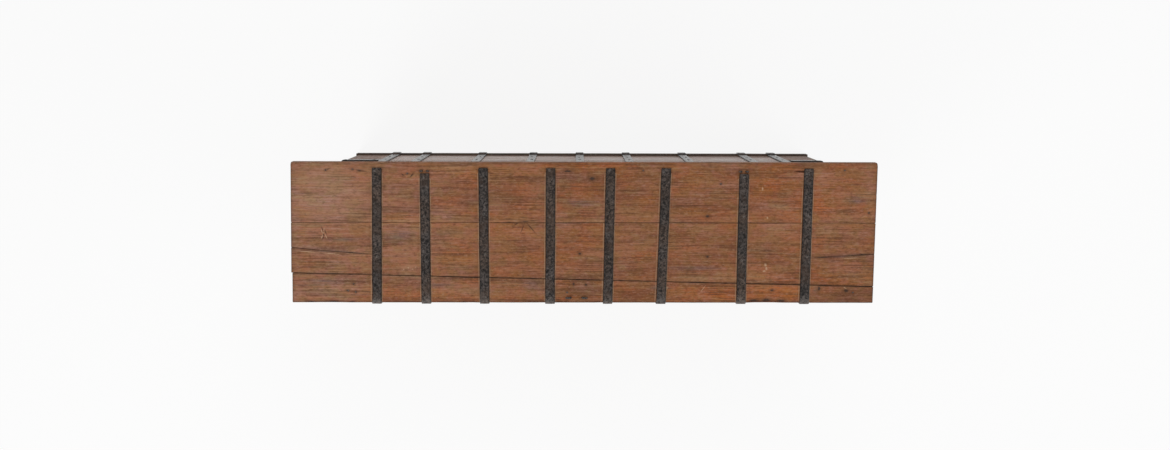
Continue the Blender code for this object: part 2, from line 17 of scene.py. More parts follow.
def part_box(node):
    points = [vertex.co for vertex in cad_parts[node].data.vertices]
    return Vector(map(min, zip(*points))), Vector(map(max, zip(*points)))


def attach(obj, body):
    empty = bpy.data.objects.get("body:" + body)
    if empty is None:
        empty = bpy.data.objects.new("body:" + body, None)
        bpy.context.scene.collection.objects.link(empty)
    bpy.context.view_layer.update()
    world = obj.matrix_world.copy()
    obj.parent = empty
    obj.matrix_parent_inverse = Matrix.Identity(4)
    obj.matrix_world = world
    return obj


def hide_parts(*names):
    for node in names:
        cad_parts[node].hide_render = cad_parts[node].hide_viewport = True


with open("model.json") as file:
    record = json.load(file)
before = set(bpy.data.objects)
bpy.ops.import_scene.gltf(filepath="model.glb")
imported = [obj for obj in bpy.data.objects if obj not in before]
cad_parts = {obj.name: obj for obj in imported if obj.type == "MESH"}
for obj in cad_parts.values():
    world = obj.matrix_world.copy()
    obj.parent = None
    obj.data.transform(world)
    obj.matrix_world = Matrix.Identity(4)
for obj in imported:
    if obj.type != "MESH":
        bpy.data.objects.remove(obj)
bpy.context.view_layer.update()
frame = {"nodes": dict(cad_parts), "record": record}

RIGHT = Vector((1, 0, 0))
BACK = Vector((0, 1, 0))
UP = Vector((0, 0, 1))

# Camera, fitted to the corners of the lid and of the foot in a picture of this width
PICTURE_WIDTH = 1170
FOCAL_PIXELS = 1125
SENSOR_WIDTH = 36
CAMERA_PLACE = (-0.0243, 0.4528, 3.847)
CAMERA_TURN = (-8.0, -0.49, 0.155)

# Studio
FLOOR_REACH = 60
FLOOR_WHITE = 0.82
FLOOR_ROUGHNESS = 0.9
FLOOR_SHINE = 0.1
FLOOR_GLOW = 0.86
SKY_LEVEL = 0.51
Lamp = namedtuple("Lamp", "place size power")
LAMPS = {
    "key": Lamp((-2.2, -2.6, 3.4), 2.4, 74),
    "fill": Lamp((2.8, -1.2, 2.6), 2.6, 29),
    "rim": Lamp((0.6, 3.0, 3.0), 2.4, 38),
}
LAMP_TARGET = (0, 0, 0.45)

# Planks: how finely they are cut, and how deep the dents of their outer face go
PLANK_STEP = 0.012
PLANK_LINE = 0.010
EDGE_LINES = (0.0006, 0.0020)
ROUND_STEPS = 4
RELIEF = 0.0005
RELIEF_FADE = 0.006
GRAIN_SHIFT = (3.1, 1.7, 0.9)
FIRST_WALL_SEED = 11

# Sides and undersides of planks: places of their lines as shares, and dirt
SIDE_SHARES = (0.6, 0.3)
SIDE_DIRT = 0.25
UNDERSIDE_SHARES = (0.1, 0.3, 0.5, 0.7, 0.9)
UNDERSIDE_ROUNDING = 0.0012
UNDERSIDE_DIRT = 0.8

# Worn edges of planks: radius, how far their dark rim fades from them, and its level as (place along, level)
Edge = namedtuple("Edge", "radius fade dirt")
BACK_JOINT = ((-0.8, 0.15), (-0.11, 0.25), (-0.06, 0.90), (0.54, 0.90), (0.60, 0.20), (0.8, 0.30))
FRONT_JOINT = ((-0.8, 1.0), (0.8, 1.0))
LID_EDGES = {
    "back": (Edge(0.0003, 0.0005, BACK_JOINT), Edge(0.0100, 0.0010, ((-0.8, 0.12), (0.8, 0.2)))),
    "middle": (Edge(0.0007, 0.0010, FRONT_JOINT), Edge(0.0003, 0.0005, BACK_JOINT)),
    # The front edge's dark rim is grime and painted shade
    "front": (Edge(0.0022, 0.0018, ((-0.8, 0.85), (0.8, 0.9))), Edge(0.0007, 0.0010, FRONT_JOINT)),
}
WALL_EDGE = Edge(0.0014, 0.0014, ((-1, 0.75), (1, 0.75)))
# The dark rims at the ends of planks are grime and painted shade
END_EDGE = Edge(0.0022, 0.0028, ((-1, 0.85), (1, 0.85)))
END_RIM = 0.0022
END_FACE_DIRT = 0.35

# Chips in the lid's front edge, as (x, reach, depth), and the slant of its left end
LID_CHIPS = ((0.50, 0.045, 0.0045), (-0.31, 0.012, 0.002), (0.05, 0.015, 0.0015), (-0.70, 0.05, 0.002))
LID_END_SKEW = 0.026
LID_SKEW_CENTRE = 0.03
LID_SKEW_REACH = 0.10

# Splits: their shape, those of the lid as (x, y, width) along each one, and those of the walls as
# (share along, share across, width) from the low end and edge of a board
SPLIT_LIP = 0.0012
SPLIT_EDGE_SHARE = 0.15
SPLIT_DEPTH_SHARE = 2.4
SPLIT_WANDER = 0.0007
SPLIT_CLEARANCE = 0.006
CLOSED_SPLIT = 0.0001
LID_SPLITS = {
    "lid_board_middle": [
        ((-0.80, -0.039, 0.0020), (-0.70, -0.0485, 0.0013), (-0.578, -0.056, 0),
         (0.622, -0.066, 0), (0.72, -0.060, 0.0010), (0.80, -0.056, 0.0018)),
    ],
    "lid_board_back": [
        ((-0.80, 0.106, 0), (0.705, 0.111, 0), (0.80, 0.109, 0.0018)),
        ((-0.80, 0.168, 0), (0.569, 0.1725, 0), (0.603, 0.172, 0.0065), (0.611, 0.172, 0), (0.80, 0.170, 0)),
    ],
}
WALL_SPLITS = {
    "front_board_upper": [((0.0, 0.58, 0.0024), (0.05, 0.56, 0.0014), (0.11, 0.55, 0))],
    "front_board_middle": [((0.86, 0.36, 0), (0.94, 0.38, 0.0014), (1.0, 0.39, 0.0026))],
    "front_board_lower": [((0.52, 0.47, 0), (0.58, 0.48, 0.0016), (0.66, 0.47, 0))],
    "back_board_middle": [((0.0, 0.44, 0.0026), (0.06, 0.42, 0.0014), (0.14, 0.41, 0))],
    "back_board_upper": [((0.80, 0.62, 0), (0.90, 0.64, 0.0012), (1.0, 0.65, 0.0022))],
    "left_end_board_upper": [((0.0, 0.30, 0.0020), (0.20, 0.31, 0.0010), (0.38, 0.30, 0))],
    "right_end_board_lower": [((0.60, 0.66, 0), (0.80, 0.67, 0.0012), (1.0, 0.69, 0.0024))],
}

# Soft patches of age on the lid, as (x, y, reach along x, reach along y, strength), in the order in which
# the wood reads them, and the age of its sides and underside
LID_PATCHES = {
    "grey": [
        (-0.72, 0.11, 0.17, 0.13, 0.9), (-0.7, -0.15, 0.12, 0.06, 0.65), (-0.5, 0.08, 0.15, 0.16, 0.45),
        (-0.5, -0.03, 0.07, 0.09, 0.4), (-0.79, 0.02, 0.03, 0.22, 0.55), (-0.7, -0.05, 0.12, 0.012, 0.95),
        (-0.7, -0.125, 0.08, 0.02, 0.5), (-0.79, 0.19, 0.1, 0.012, 0.6), (-0.122, 0.1, 0.03, 0.05, 0.4),
        (-0.142, -0.141, 0.04, 0.02, 0.45), (0.548, 0.091, 0.03, 0.03, 0.4), (0.78, 0.125, 0.012, 0.05, 0.6),
        (0.71, -0.062, 0.1, 0.01, 0.6), (0.7, 0.02, 0.07, 0.05, 0.25), (0.7, -0.17, 0.09, 0.02, 0.4),
    ],
    "warm": [
        (-0.609, 0.158, 0.035, 0.03, 0.8), (-0.768, 0.08, 0.018, 0.16, 0.6), (0.516, -0.158, 0.1, 0.045, 1),
        (0.33, -0.17, 0.09, 0.024, 1), (-0.03, -0.182, 0.06, 0.01, 0.7), (-0.45, -0.18, 0.3, 0.012, 0.6),
        (0.7, -0.085, 0.09, 0.02, 0.5), (0.57, 0.11, 0.15, 0.09, 0.55), (0, 0.19, 0.75, 0.006, 0.7),
    ],
    "pale": [
        (-0.7, 0.12, 0.12, 0.1, 0.3), (-0.48, -0.096, 0.03, 0.012, 0.3), (-0.3, 0.035, 0.45, 0.0022, 0.45),
        (-0.24, 0.085, 0.02, 0.01, 0.3), (0.32, -0.128, 0.05, 0.003, 0.5),
    ],
    "darkening": [
        (0.72, -0.17, 0.1, 0.03, 0.68), (0.72, -0.061, 0.11, 0.007, 0.7), (-0.72, -0.045, 0.1, 0.008, 0.35),
        (-0.01, -0.17, 0.08, 0.03, 0.5), (0.14, -0.165, 0.07, 0.03, 0.42), (0.71, -0.03, 0.1, 0.07, 0.28),
        (-0.18, 0.12, 0.1, 0.1, 0.16), (-0.18, -0.15, 0.09, 0.05, 0.14), (0.32, -0.04, 0.12, 0.09, 0.1),
        (0.3, 0.08, 0.3, 0.12, 0.18), (0.25, -0.06, 0.5, 0.09, 0.2),
    ],
}
LID_INNER_AGE = (0.15, 0.2, 0.0, 0.1)

# Marks on the lid's top, as (x, y, reach along, reach across, turn in degrees)
Spot = namedtuple("Spot", "x y long wide turn", defaults=(0,))
SPOT_DEPTH = 0.012
LID_KNOTS = [Spot(*mark) for mark in (
    # Knots and nicks along the back edge
    (0.022, 0.152, 0.01, 0.007), (-0.044, 0.172, 0.016, 0.004), (-0.61, 0.1735, 0.011, 0.0022, -8),
    (-0.695, 0.1765, 0.006, 0.0014, 20), (-0.468, 0.16, 0.008, 0.002, 48),
    (-0.492, 0.1615, 0.006, 0.0016, -30),
    # Dark strokes in the scar at the left
    (-0.7115, -0.0035, 0.004, 0.0016, 90), (-0.7145, 0.012, 0.008, 0.0013, -72),
    (-0.706, 0.004, 0.008, 0.0013, -70), (-0.7125, -0.011, 0.006, 0.0013, 65),
    # Knots in the middle and near the front
    (-0.011, -0.055, 0.006, 0.005), (0.338, 0.049, 0.007, 0.005), (0.34, -0.063, 0.005, 0.004),
    (-0.028, -0.14, 0.004, 0.006), (0.006, -0.142, 0.005, 0.004), (0.52, -0.157, 0.007, 0.004),
    (0.65, -0.152, 0.005, 0.008), (0.725, -0.158, 0.009, 0.006), (-0.65, -0.158, 0.007, 0.0035),
    (-0.628, -0.162, 0.005, 0.0045),
    # Fan of scratches left of the middle
    (-0.16, 0.0348, 0.012, 0.0018), (-0.141, 0.036, 0.011, 0.0014), (-0.141, 0.0432, 0.011, 0.0009),
    (-0.165, 0.0457, 0.01, 0.001), (-0.2066, 0.0405, 0.011, 0.001), (-0.2066, 0.0319, 0.011, 0.001),
    (-0.1448, 0.0161, 0.017, 0.0014, -49), (-0.184, 0.0278, 0.0075, 0.0014, 35),
    (-0.168, 0.015, 0.012, 0.001, 68),
    # Splintered front edge
    (0.47, -0.185, 0.018, 0.005), (0.505, -0.184, 0.016, 0.006), (0.546, -0.186, 0.015, 0.005),
    (-0.69, -0.19, 0.022, 0.003), (-0.75, -0.1895, 0.012, 0.0028, -6), (-0.64, -0.1905, 0.014, 0.0026, 5),
    (-0.33, -0.1905, 0.01, 0.003), (-0.095, -0.189, 0.007, 0.004, 30),
    # Ends of the splits
    (-0.63, -0.0535, 0.045, 0.0016, -4), (0.66, -0.064, 0.026, 0.0024, 3), (0.765, -0.057, 0.02, 0.0024, 3),
)]
LID_SCUFFS = [Spot(*mark) for mark in (
    # Pale specks at the right
    (0.487, 0.125, 0.003, 0.006), (0.502, 0.045, 0.003, 0.004), (0.5, -0.086, 0.005, 0.006),
    (0.503, -0.096, 0.004, 0.006), (0.497, -0.103, 0.006, 0.003),
    # Pale strokes in the scar at the left
    (-0.7095, 0.011, 0.007, 0.0018, 73), (-0.7165, 0.0065, 0.008, 0.0018, -75),
    (-0.712, 0.002, 0.0045, 0.0024, 80), (-0.716, -0.0085, 0.009, 0.0018, 68),
    (-0.705, -0.008, 0.009, 0.0018, -66),
    # Scratches and small dents near the front
    (0.329, -0.153, 0.015, 0.0013, 53), (0.722, -0.15, 0.007, 0.002, -30), (-0.495, -0.099, 0.003, 0.0018),
    (-0.482, -0.095, 0.0035, 0.0018), (-0.47, -0.0985, 0.003, 0.0018), (-0.462, -0.093, 0.004, 0.0014, 40),
    (0.225, -0.15, 0.01, 0.006),
    # Pale lips of the splits
    (-0.76, -0.05, 0.035, 0.002, -4), (-0.69, -0.056, 0.03, 0.0016, -4), (0.735, -0.0665, 0.03, 0.0014, 3),
)]
LID_SMUDGES = [Spot(*mark) for mark in (
    (-0.7, -0.048, 0.105, 0.006, -4), (0.715, -0.061, 0.09, 0.005, 3), (-0.715, -0.133, 0.07, 0.011),
    (-0.655, -0.015, 0.06, 0.009), (-0.505, -0.005, 0.045, 0.022), (-0.14, -0.142, 0.035, 0.015),
    (-0.4, -0.145, 0.06, 0.008), (0.3, -0.095, 0.1, 0.007), (0.21, -0.15, 0.035, 0.009),
    (0.745, 0.095, 0.035, 0.016), (0.64, -0.156, 0.01, 0.012), (-0.01, 0.085, 0.06, 0.012),
)]
LID_HOLES = [
    (-0.701, 0.174), (-0.628, 0.176), (-0.480, 0.165), (-0.633, -0.140), (-0.648, -0.159), (-0.628, -0.163),
    (0.780, 0.059), (0.710, 0.176), (0.373, 0.138), (0.744, -0.163), (-0.046, -0.163), (0.161, 0.174),
]
HOLE_RING = (0.0042, 0.0032)

# Lines rubbed pale beside the lid's straps: distance from a strap's middle, width, and depth below the top
STRAP_RUB = 0.0150
STRAP_RUB_WIDTH = 0.0022
STRAP_RUB_DEPTHS = (0.004, 0.002)

# Walls darker towards the foot, its height at both ends with its waves and fade; stains at the back's ends
FOOT_DARK_ENDS = (-0.76, 0.76)
FOOT_DARK_HEIGHTS = (0.062, 0.105)
FOOT_DARK_WAVE = 0.012
FOOT_DARK_FADE = (0.02, -0.012)
BACK_STAIN_Y = 0.14
BACK_STAIN_X = (0.62, 0.68)
BACK_STAIN_LEVEL = 0.65

# Plinth
PLINTH_STEP = 0.02
PLINTH_ROUNDING = 0.0007
PLINTH_DENT = 0.0006
PLINTH_FILM, PLINTH_WARMTH, PLINTH_STAIN = 0.2, 0.2, 0.3
FACE_TOLERANCE = 0.0001
FIRST_PLINTH_SEED = 40

# Straps: size, forged unevenness, wear, and how far each lid strap leans sideways over its length
STRAP_WIDTH = 0.026
STRAP_THICKNESS = 0.0035
STRAP_BEND = 0.0030
STRAP_STEP = 0.006
STRAP_LINES = 7
STRAP_EDGE = 0.0009
STRAP_END = 0.0009
STRAP_WOBBLE = 0.0006
STRAP_DENT = 0.00035
STRAP_WELD = 0.001
# Darkness of a strap's top rims and sides: grime and painted shade
STRAP_RIM_GRIME_AND_SHADE = 0.7
STRAP_SIDE_GRIME_AND_SHADE = 1.0
STRAP_WEAR = 0.12
# Iron rubbed bare where the lid straps bend over the front edge, with a painted highlight there
LID_BEND_WEAR_AND_HIGHLIGHT = 0.8
BEND_WEAR_AND_HIGHLIGHT_REACH = 0.010
END_BAND_SEED = 90
LID_STRAP_LEANS = (-0.0085, -0.001, 0.0005, -0.003, -0.007, -0.012, -0.0015, -0.0025)

# Nails: sizes as (radius, height), the profile and unevenness of a head as shares of them, and places
STRAP_NAIL = (0.0042, 0.0012)
WALL_NAIL = (0.0036, 0.0009)
HOLE_NAIL = (0.0022, 0.0002)
NAIL_SIDES = 9
NAIL_SUNK = 0.0006
NAIL_PROFILE = ((1.0, 0.15), (0.9, 0.55), (0.5, 0.95))
NAIL_GROWTH = (0.85, 1.15)
NAIL_UNEVEN_RADIUS = 0.08
NAIL_UNEVEN_HEIGHT = 0.06
NAIL_WEAR = 0.45
STRAP_NAIL_PITCH = 0.105
STRAP_NAIL_INSET = 0.012
STRAP_NAIL_DRIFT = (0.003, 0.008)
STRAP_NAIL_SEED = 7
CORNER_NAIL_INSET = 0.012
CORNER_NAIL_SHARES = (0.2, 0.5, 0.8)
CORNER_NAIL_DRIFT = 0.01
CORNER_NAIL_FOOT = 0.06
LOOSE_NAIL_SEED = 11

# Wires and the hasp: angles in degrees under which faces of the solids join to one smooth form
WIRE_WELD = 0.00001
WIRE_FLAT = 0.5
WIRE_JOIN = 50
WIRE_SQUARE = 60
WIRE_RELIEF = 0.00012
WIRE_RELIEF_CELLS = 160
WIRE_WEAR = 0.3
HASP_BEVEL = 0.0006

# Colours of wood, with its least and greatest roughness as gloss and the weight of its sheen as dust
Palette = namedtuple("Palette", "light middle dark grey warm pale grime gloss dust")
LID_PALETTE = Palette(
    light=(0.305, 0.128, 0.054), middle=(0.215, 0.078, 0.028), dark=(0.078, 0.026, 0.009),
    grey=(0.350, 0.198, 0.135), warm=(0.370, 0.108, 0.020), pale=(0.440, 0.280, 0.170),
    grime=(0.022, 0.013, 0.009), gloss=(0.42, 0.60), dust=0.0,
)
WALL_PALETTE = Palette(
    light=(0.260, 0.116, 0.054), middle=(0.185, 0.072, 0.031), dark=(0.072, 0.027, 0.012),
    grey=(0.230, 0.145, 0.105), warm=(0.260, 0.085, 0.022), pale=(0.400, 0.250, 0.150),
    grime=(0.020, 0.012, 0.008), gloss=(0.24, 0.38), dust=0.25,
)
PLINTH_PALETTE = Palette(
    light=(0.055, 0.036, 0.026), middle=(0.033, 0.021, 0.015), dark=(0.013, 0.009, 0.007),
    grey=(0.055, 0.046, 0.040), warm=(0.075, 0.033, 0.015), pale=(0.120, 0.070, 0.042),
    grime=(0.008, 0.006, 0.005), gloss=(0.62, 0.80), dust=0.0,
)

# Wood: shine, fine relief as (depth, strength), how far its grain wanders, cells for knots in a metre along
# and across the grain, smudges, and tints of its patches
WOOD_SHINE = 0.25
SHEEN_ROUGHNESS = 0.35
WOOD_BUMP = (0.0006, 0.55)
GRAIN_WANDER = (0, 0.008, 0.008)
KNOT_CELLS = (4.0, 9.0, 9.0)
SMOKE = (0.150, 0.098, 0.083)
OLIVE = (0.88, 0.92, 0.77)
MAUVE = (0.965, 0.88, 0.965)

# Iron: shine, fine relief as (depth, strength), colours, and tints of its patches
IRON_SHINE = 0.10
IRON_BUMP = (0.0005, 0.35)
DARK_SCALE = (0.002, 0.0017, 0.0016)
BROWN_SCALE = (0.086, 0.064, 0.053)
RUST = (0.050, 0.028, 0.018)
GREY_SPECK = (0.120, 0.112, 0.104)
# Pits, and grime with painted shade along the straps' rims and sides
PIT_AND_EDGE_SHADE = (0.004, 0.0035, 0.003)
BARE_IRON = (0.220, 0.195, 0.178)
STEEL = (0.94, 1.04, 1.16)
RUSSET = (1.06, 0.96, 0.88)
SHADED = (0.72, 0.72, 0.72)
LIT = (1.25, 1.25, 1.25)


# Places that follow from the solids


def middle_x(node):
    low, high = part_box(node)
    return (low.x + high.x) / 2


LID_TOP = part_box("lid_board_middle")[1].z
LID_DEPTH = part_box("lid_board_back")[1].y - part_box("lid_board_front")[0].y
LID_STRAPS = [f"lid_strap_{number}" for number in range(1, len(LID_STRAP_LEANS) + 1)]

# Middle lines of the lid's straps, as (x, slope, back end)
LID_STRAP_LINES = [
    (middle_x(node), -lean / LID_DEPTH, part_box(node)[1].y - STRAP_RUB)
    for node, lean in zip(LID_STRAPS, LID_STRAP_LEANS)
]
LID_MARKS = LID_KNOTS + [Spot(*place, *HOLE_RING) for place in LID_HOLES]


# Node trees


class Shader:
    """The nodes of a material or a world, added by short calls that give outputs to link on."""

    def __init__(self, owner, surface="Principled BSDF"):
        owner.use_nodes = True
        self.owner = owner
        self.tree = owner.node_tree
        self.surface = self.tree.nodes[surface]
        self.colour = None

    def put(self, socket, value):
        if isinstance(value, bpy.types.NodeSocket):
            self.tree.links.new(value, socket)
        else:
            socket.default_value = value

    def add(self, kind, inputs, **settings):
        node = self.tree.nodes.new(kind)
        for key, value in settings.items():
            setattr(node, key, value)
        for key, value in inputs.items():
            self.put(node.inputs[key], value)
        return node

    def set(self, **values):
        """Sets or links sockets of the surface or background by their names, with _ for a space."""
        for key, value in values.items():
            self.put(self.surface.inputs[key.replace("_", " ")], value)

    def attribute(self, name, output):
        return self.add("ShaderNodeAttribute", {}, attribute_name=name).outputs[output]

    def place(self):
        return self.add("ShaderNodeTexCoord", {}).outputs["Object"]

    def math(self, operation, first, second=0.0, clamp=False):
        inputs = {0: first, 1: second}
        return self.add("ShaderNodeMath", inputs, operation=operation, use_clamp=clamp).outputs[0]

    def times(self, first, second, clamp=False):
        return self.math("MULTIPLY", first, second, clamp)

    def plus(self, first, second, clamp=False):
        return self.math("ADD", first, second, clamp)

    def minus(self, first, second):
        return self.math("SUBTRACT", first, second)

    def vector(self, operation, first, second, output="Vector"):
        return self.add("ShaderNodeVectorMath", {0: first, 1: second}, operation=operation).outputs[output]

    def along(self, axis):
        """How far a point lies along an axis."""
        return self.vector("DOT_PRODUCT", self.place(), axis, output="Value")

    def noise(self, vector, along, across, detail=2.0, roughness=0.5, output="Fac"):
        """Noise with so many cells in a metre, along X and across it."""
        scaled = self.vector("MULTIPLY", vector, (along, across, across))
        inputs = {"Vector": scaled, "Scale": 1.0, "Detail": detail, "Roughness": roughness}
        return self.add("ShaderNodeTexNoise", inputs).outputs[output]

    def fade(self, value, low, high, start=0.0, end=1.0):
        """A smooth step from start to end, while the value goes from low to high."""
        inputs = {"Value": value, "From Min": low, "From Max": high, "To Min": start, "To Max": end}
        return self.add("ShaderNodeMapRange", inputs, interpolation_type="SMOOTHSTEP").outputs[0]

    def mix(self, factor, first, second, blend="MIX"):
        colours = [(*c, 1) if isinstance(c, tuple) else c for c in (first, second)]
        inputs = {0: factor, 6: colours[0], 7: colours[1]}
        return self.add("ShaderNodeMix", inputs, data_type="RGBA", blend_type=blend).outputs[2]

    def cover(self, factor, colour):
        """Lays a colour over those laid so far."""
        self.colour = self.mix(factor, self.colour, colour)

    def tinge(self, factor, low, high):
        """Tints the colours laid so far, between two tints."""
        self.colour = self.mix(1.0, self.colour, self.mix(factor, low, high), blend="MULTIPLY")

    def separate(self, colour):
        return self.add("ShaderNodeSeparateColor", {0: colour}).outputs

    def bump(self, height, distance, strength):
        inputs = {"Height": height, "Distance": distance, "Strength": strength}
        return self.add("ShaderNodeBump", inputs).outputs["Normal"]


class Wood(Shader):
    """Old plank wood: layers of colour that follow the grain and the age stored in a plank's mesh."""

    def __init__(self, name, palette):
        super().__init__(bpy.data.materials.new(name))
        self.palette = palette
        self.film, self.warmth, self.rubbed = self.separate(self.attribute("age", "Color"))
        self.darkening = self.attribute("age", "Alpha")
        self.edge = self.attribute("edge", "Fac")
        self.draw_grain()

    def draw_grain(self):
        """Rings, lines, flecks and pores drawn out along the grain, and blotches of tone, hue and tint."""
        grain = self.attribute("grain", "Vector")
        wander = self.vector("SUBTRACT", self.noise(grain, 2.2, 9, output="Color"), (0.5, 0.5, 0.5))
        self.bent = self.vector("ADD", grain, self.vector("MULTIPLY", wander, GRAIN_WANDER))
        growth = self.noise(self.bent, 0.9, 20, 1.5, 0.4)
        self.rings = self.fade(self.math("PINGPONG", self.times(growth, 11.0), 1.0), 0.62, 0.99)
        self.streaks = self.noise(self.bent, 10, 190, 3, 0.62)
        self.combed = self.noise(self.bent, 5, 430, 1, 0.6)
        self.flecks = self.noise(self.bent, 85, 260, 2, 0.65)
        self.mottle = self.noise(self.bent, 75, 120, 4, 0.65)
        self.pores = self.fade(self.noise(self.bent, 55, 1300, 1), 0.60, 0.70)
        self.tone = self.noise(grain, 3, 13, 3, 0.55)
        self.blotch = self.noise(grain, 9, 26, 5, 0.68)
        self.hue = self.noise(grain, 9, 24, 3, 0.55)
        self.tint = self.noise(grain, 26, 38, 2, 0.6)

    def nearest_spot(self, spots):
        """How far the nearest of some ragged oval spots on the lid's top lies, as a share of its reach."""
        place = self.place()
        nearest = 9.0
        for spot in spots:
            inputs = {
                "Vector": place,
                "Location": (spot.x, spot.y, LID_TOP),
                "Rotation": (0, 0, radians(spot.turn)),
                "Scale": (spot.long, spot.wide, SPOT_DEPTH),
            }
            scaled = self.add("ShaderNodeMapping", inputs, vector_type="TEXTURE").outputs[0]
            far = self.vector("LENGTH", scaled, (0, 0, 0), output="Value")
            nearest = self.math("MINIMUM", nearest, far)
        return self.plus(nearest, self.times(self.noise(place, 320, 320), 0.9))

    def grown_knots(self):
        """How much of a knot shows: dark ovals in a few of the cells that the grain is cut into."""
        scaled = self.vector("MULTIPLY", self.bent, KNOT_CELLS)
        cells = self.add("ShaderNodeTexVoronoi", {"Vector": scaled, "Scale": 1.0}).outputs
        chosen = self.fade(self.separate(cells["Color"])[0], 0.60, 0.62)
        core = self.fade(cells["Distance"], 0.03, 0.09, 0.65, 0.0)
        halo = self.fade(cells["Distance"], 0.06, 0.24, 0.35, 0.0)
        return self.times(chosen, self.plus(core, halo))

    def strap_rub(self, straps):
        """Lines on the lid's top beside straps, each given as (x, slope, back end)."""
        nearest, depth = 1.0, self.along(BACK)
        for x, slope, end in straps:
            gap = self.math("ABSOLUTE", self.minus(self.along((1, -slope, 0)), x))
            past = self.math("MAXIMUM", self.minus(depth, end), 0.0)
            nearest = self.math("MINIMUM", nearest, self.plus(gap, past))
        far = self.math("DIVIDE", self.minus(nearest, STRAP_RUB), STRAP_RUB_WIDTH)
        line = self.fade(self.math("ABSOLUTE", far), 0.0, 1.0, 0.9, 0.0)
        heights = [LID_TOP - below for below in STRAP_RUB_DEPTHS]
        return self.times(line, self.fade(self.along(UP), *heights))

    def lay_tones(self, smudges):
        """The light and dark of clean wood, with warm, dusty and smudged places."""
        self.colour = self.mix(self.fade(self.tone, 0.34, 0.68), self.palette.middle, self.palette.light)
        heat = self.plus(self.fade(self.hue, 0.48, 0.66, 0.0, 0.55), self.warmth)
        heat = self.times(heat, self.fade(self.blotch, 0.25, 0.6, 0.40, 0.95), clamp=True)
        self.cover(heat, self.palette.warm)
        dust = self.plus(self.film, self.fade(self.hue, 0.48, 0.32, 0.0, 0.60))
        dust = self.times(dust, self.fade(self.streaks, 0.66, 0.36, 0.3, 0.85), clamp=True)
        self.cover(dust, self.palette.grey)
        if smudges:
            soft = self.fade(self.nearest_spot(smudges), 0.4, 1.8, 1.0, 0.0)
            soft = self.times(soft, self.fade(self.streaks, 0.60, 0.40, 0.50, 1.0))
            self.cover(soft, SMOKE)

    def lay_grain(self):
        """Rings, streaks, lines, flecks and pores, with stains and the walls' darkening towards the foot
        among them.
        """
        palette = self.palette
        self.cover(self.times(self.rings, self.fade(self.blotch, 0.35, 0.60, 0.15, 0.45)), palette.dark)
        self.cover(self.fade(self.streaks, 0.48, 0.72, 0.0, 0.34), palette.dark)
        self.cover(self.fade(self.streaks, 0.46, 0.28, 0.0, 0.36), palette.pale)
        self.cover(self.fade(self.mottle, 0.50, 0.68, 0.0, 0.45), palette.dark)
        self.cover(self.fade(self.mottle, 0.48, 0.32, 0.0, 0.35), palette.grey)
        self.tinge(self.fade(self.tint, 0.40, 0.60), OLIVE, MAUVE)
        lines = self.fade(self.combed, 0.50, 0.62, 0.0, 0.74)
        self.cover(self.times(lines, self.fade(self.blotch, 0.44, 0.60, 0.12, 1.0)), palette.dark)
        lines = self.fade(self.combed, 0.48, 0.36, 0.0, 0.62)
        self.cover(self.times(lines, self.fade(self.blotch, 0.56, 0.42, 0.2, 1.0)), palette.light)
        self.cover(self.times(self.darkening, 0.62, clamp=True), palette.dark)
        self.cover(self.fade(self.flecks, 0.54, 0.72, 0.0, 0.45), palette.dark)
        self.cover(self.fade(self.flecks, 0.44, 0.30, 0.0, 0.35), palette.grey)
        self.cover(self.times(self.pores, 0.45), palette.dark)

    def lay_wear(self, straps):
        """Places rubbed pale, and dirt along the edges, with painted shade at the ends and the lid's front
        edge.
        """
        rubbed = self.math("MAXIMUM", self.rubbed, self.strap_rub(straps)) if straps else self.rubbed
        rubbed = self.times(rubbed, self.fade(self.hue, 0.35, 0.60, 0.3, 1.0), clamp=True)
        self.cover(self.times(rubbed, 0.7), self.palette.pale)
        dirt = self.times(self.edge, self.fade(self.blotch, 0.20, 0.55, 0.6, 1.0), clamp=True)
        self.cover(dirt, self.palette.grime)

    def lay_marks(self, knots, scuffs):
        """Scuffs and knots at given places, or grown knots where none are given."""
        if scuffs:
            self.cover(self.fade(self.nearest_spot(scuffs), 0.7, 1.5, 0.75, 0.0), self.palette.pale)
        if knots:
            far = self.nearest_spot(knots)
            self.cover(self.fade(far, 1.0, 2.6, 0.50, 0.0), self.palette.dark)
            self.cover(self.fade(far, 0.75, 1.35, 0.85, 0.0), self.palette.grime)
        else:
            self.cover(self.times(self.grown_knots(), 0.85), self.palette.grime)

    def finish(self):
        """Links the colour, and gives the wood its gloss and a fine relief."""
        gloss = self.plus(self.fade(self.blotch, 0.3, 0.7, *self.palette.gloss), self.times(self.pores, 0.2))
        dull = self.times(self.math("MAXIMUM", self.darkening, self.edge), 0.5)
        self.set(Base_Color=self.colour, Roughness=self.plus(gloss, dull, clamp=True))
        self.set(Specular_IOR_Level=WOOD_SHINE)
        self.set(Sheen_Weight=self.palette.dust, Sheen_Roughness=SHEEN_ROUGHNESS)
        height = self.minus(self.times(self.streaks, 0.6), self.times(self.pores, 0.6))
        height = self.minus(height, self.times(self.rings, 0.25))
        self.set(Normal=self.bump(height, *WOOD_BUMP))
        return self.owner


def wood_material(name, palette, knots=(), scuffs=(), smudges=(), straps=()):
    wood = Wood(name, palette)
    wood.lay_tones(smudges)
    wood.lay_grain()
    wood.lay_wear(straps)
    wood.lay_marks(knots, scuffs)
    return wood.finish()


def lid_wood(board):
    """The wood of one lid board, with the marks that lie on it."""
    low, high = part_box(f"lid_board_{board}")
    lists = [
        [spot for spot in spots if low.y < spot.y < high.y]
        for spots in (LID_MARKS, LID_SCUFFS, LID_SMUDGES)
    ]
    return wood_material(f"old lid plank {board}", LID_PALETTE, *lists, LID_STRAP_LINES)


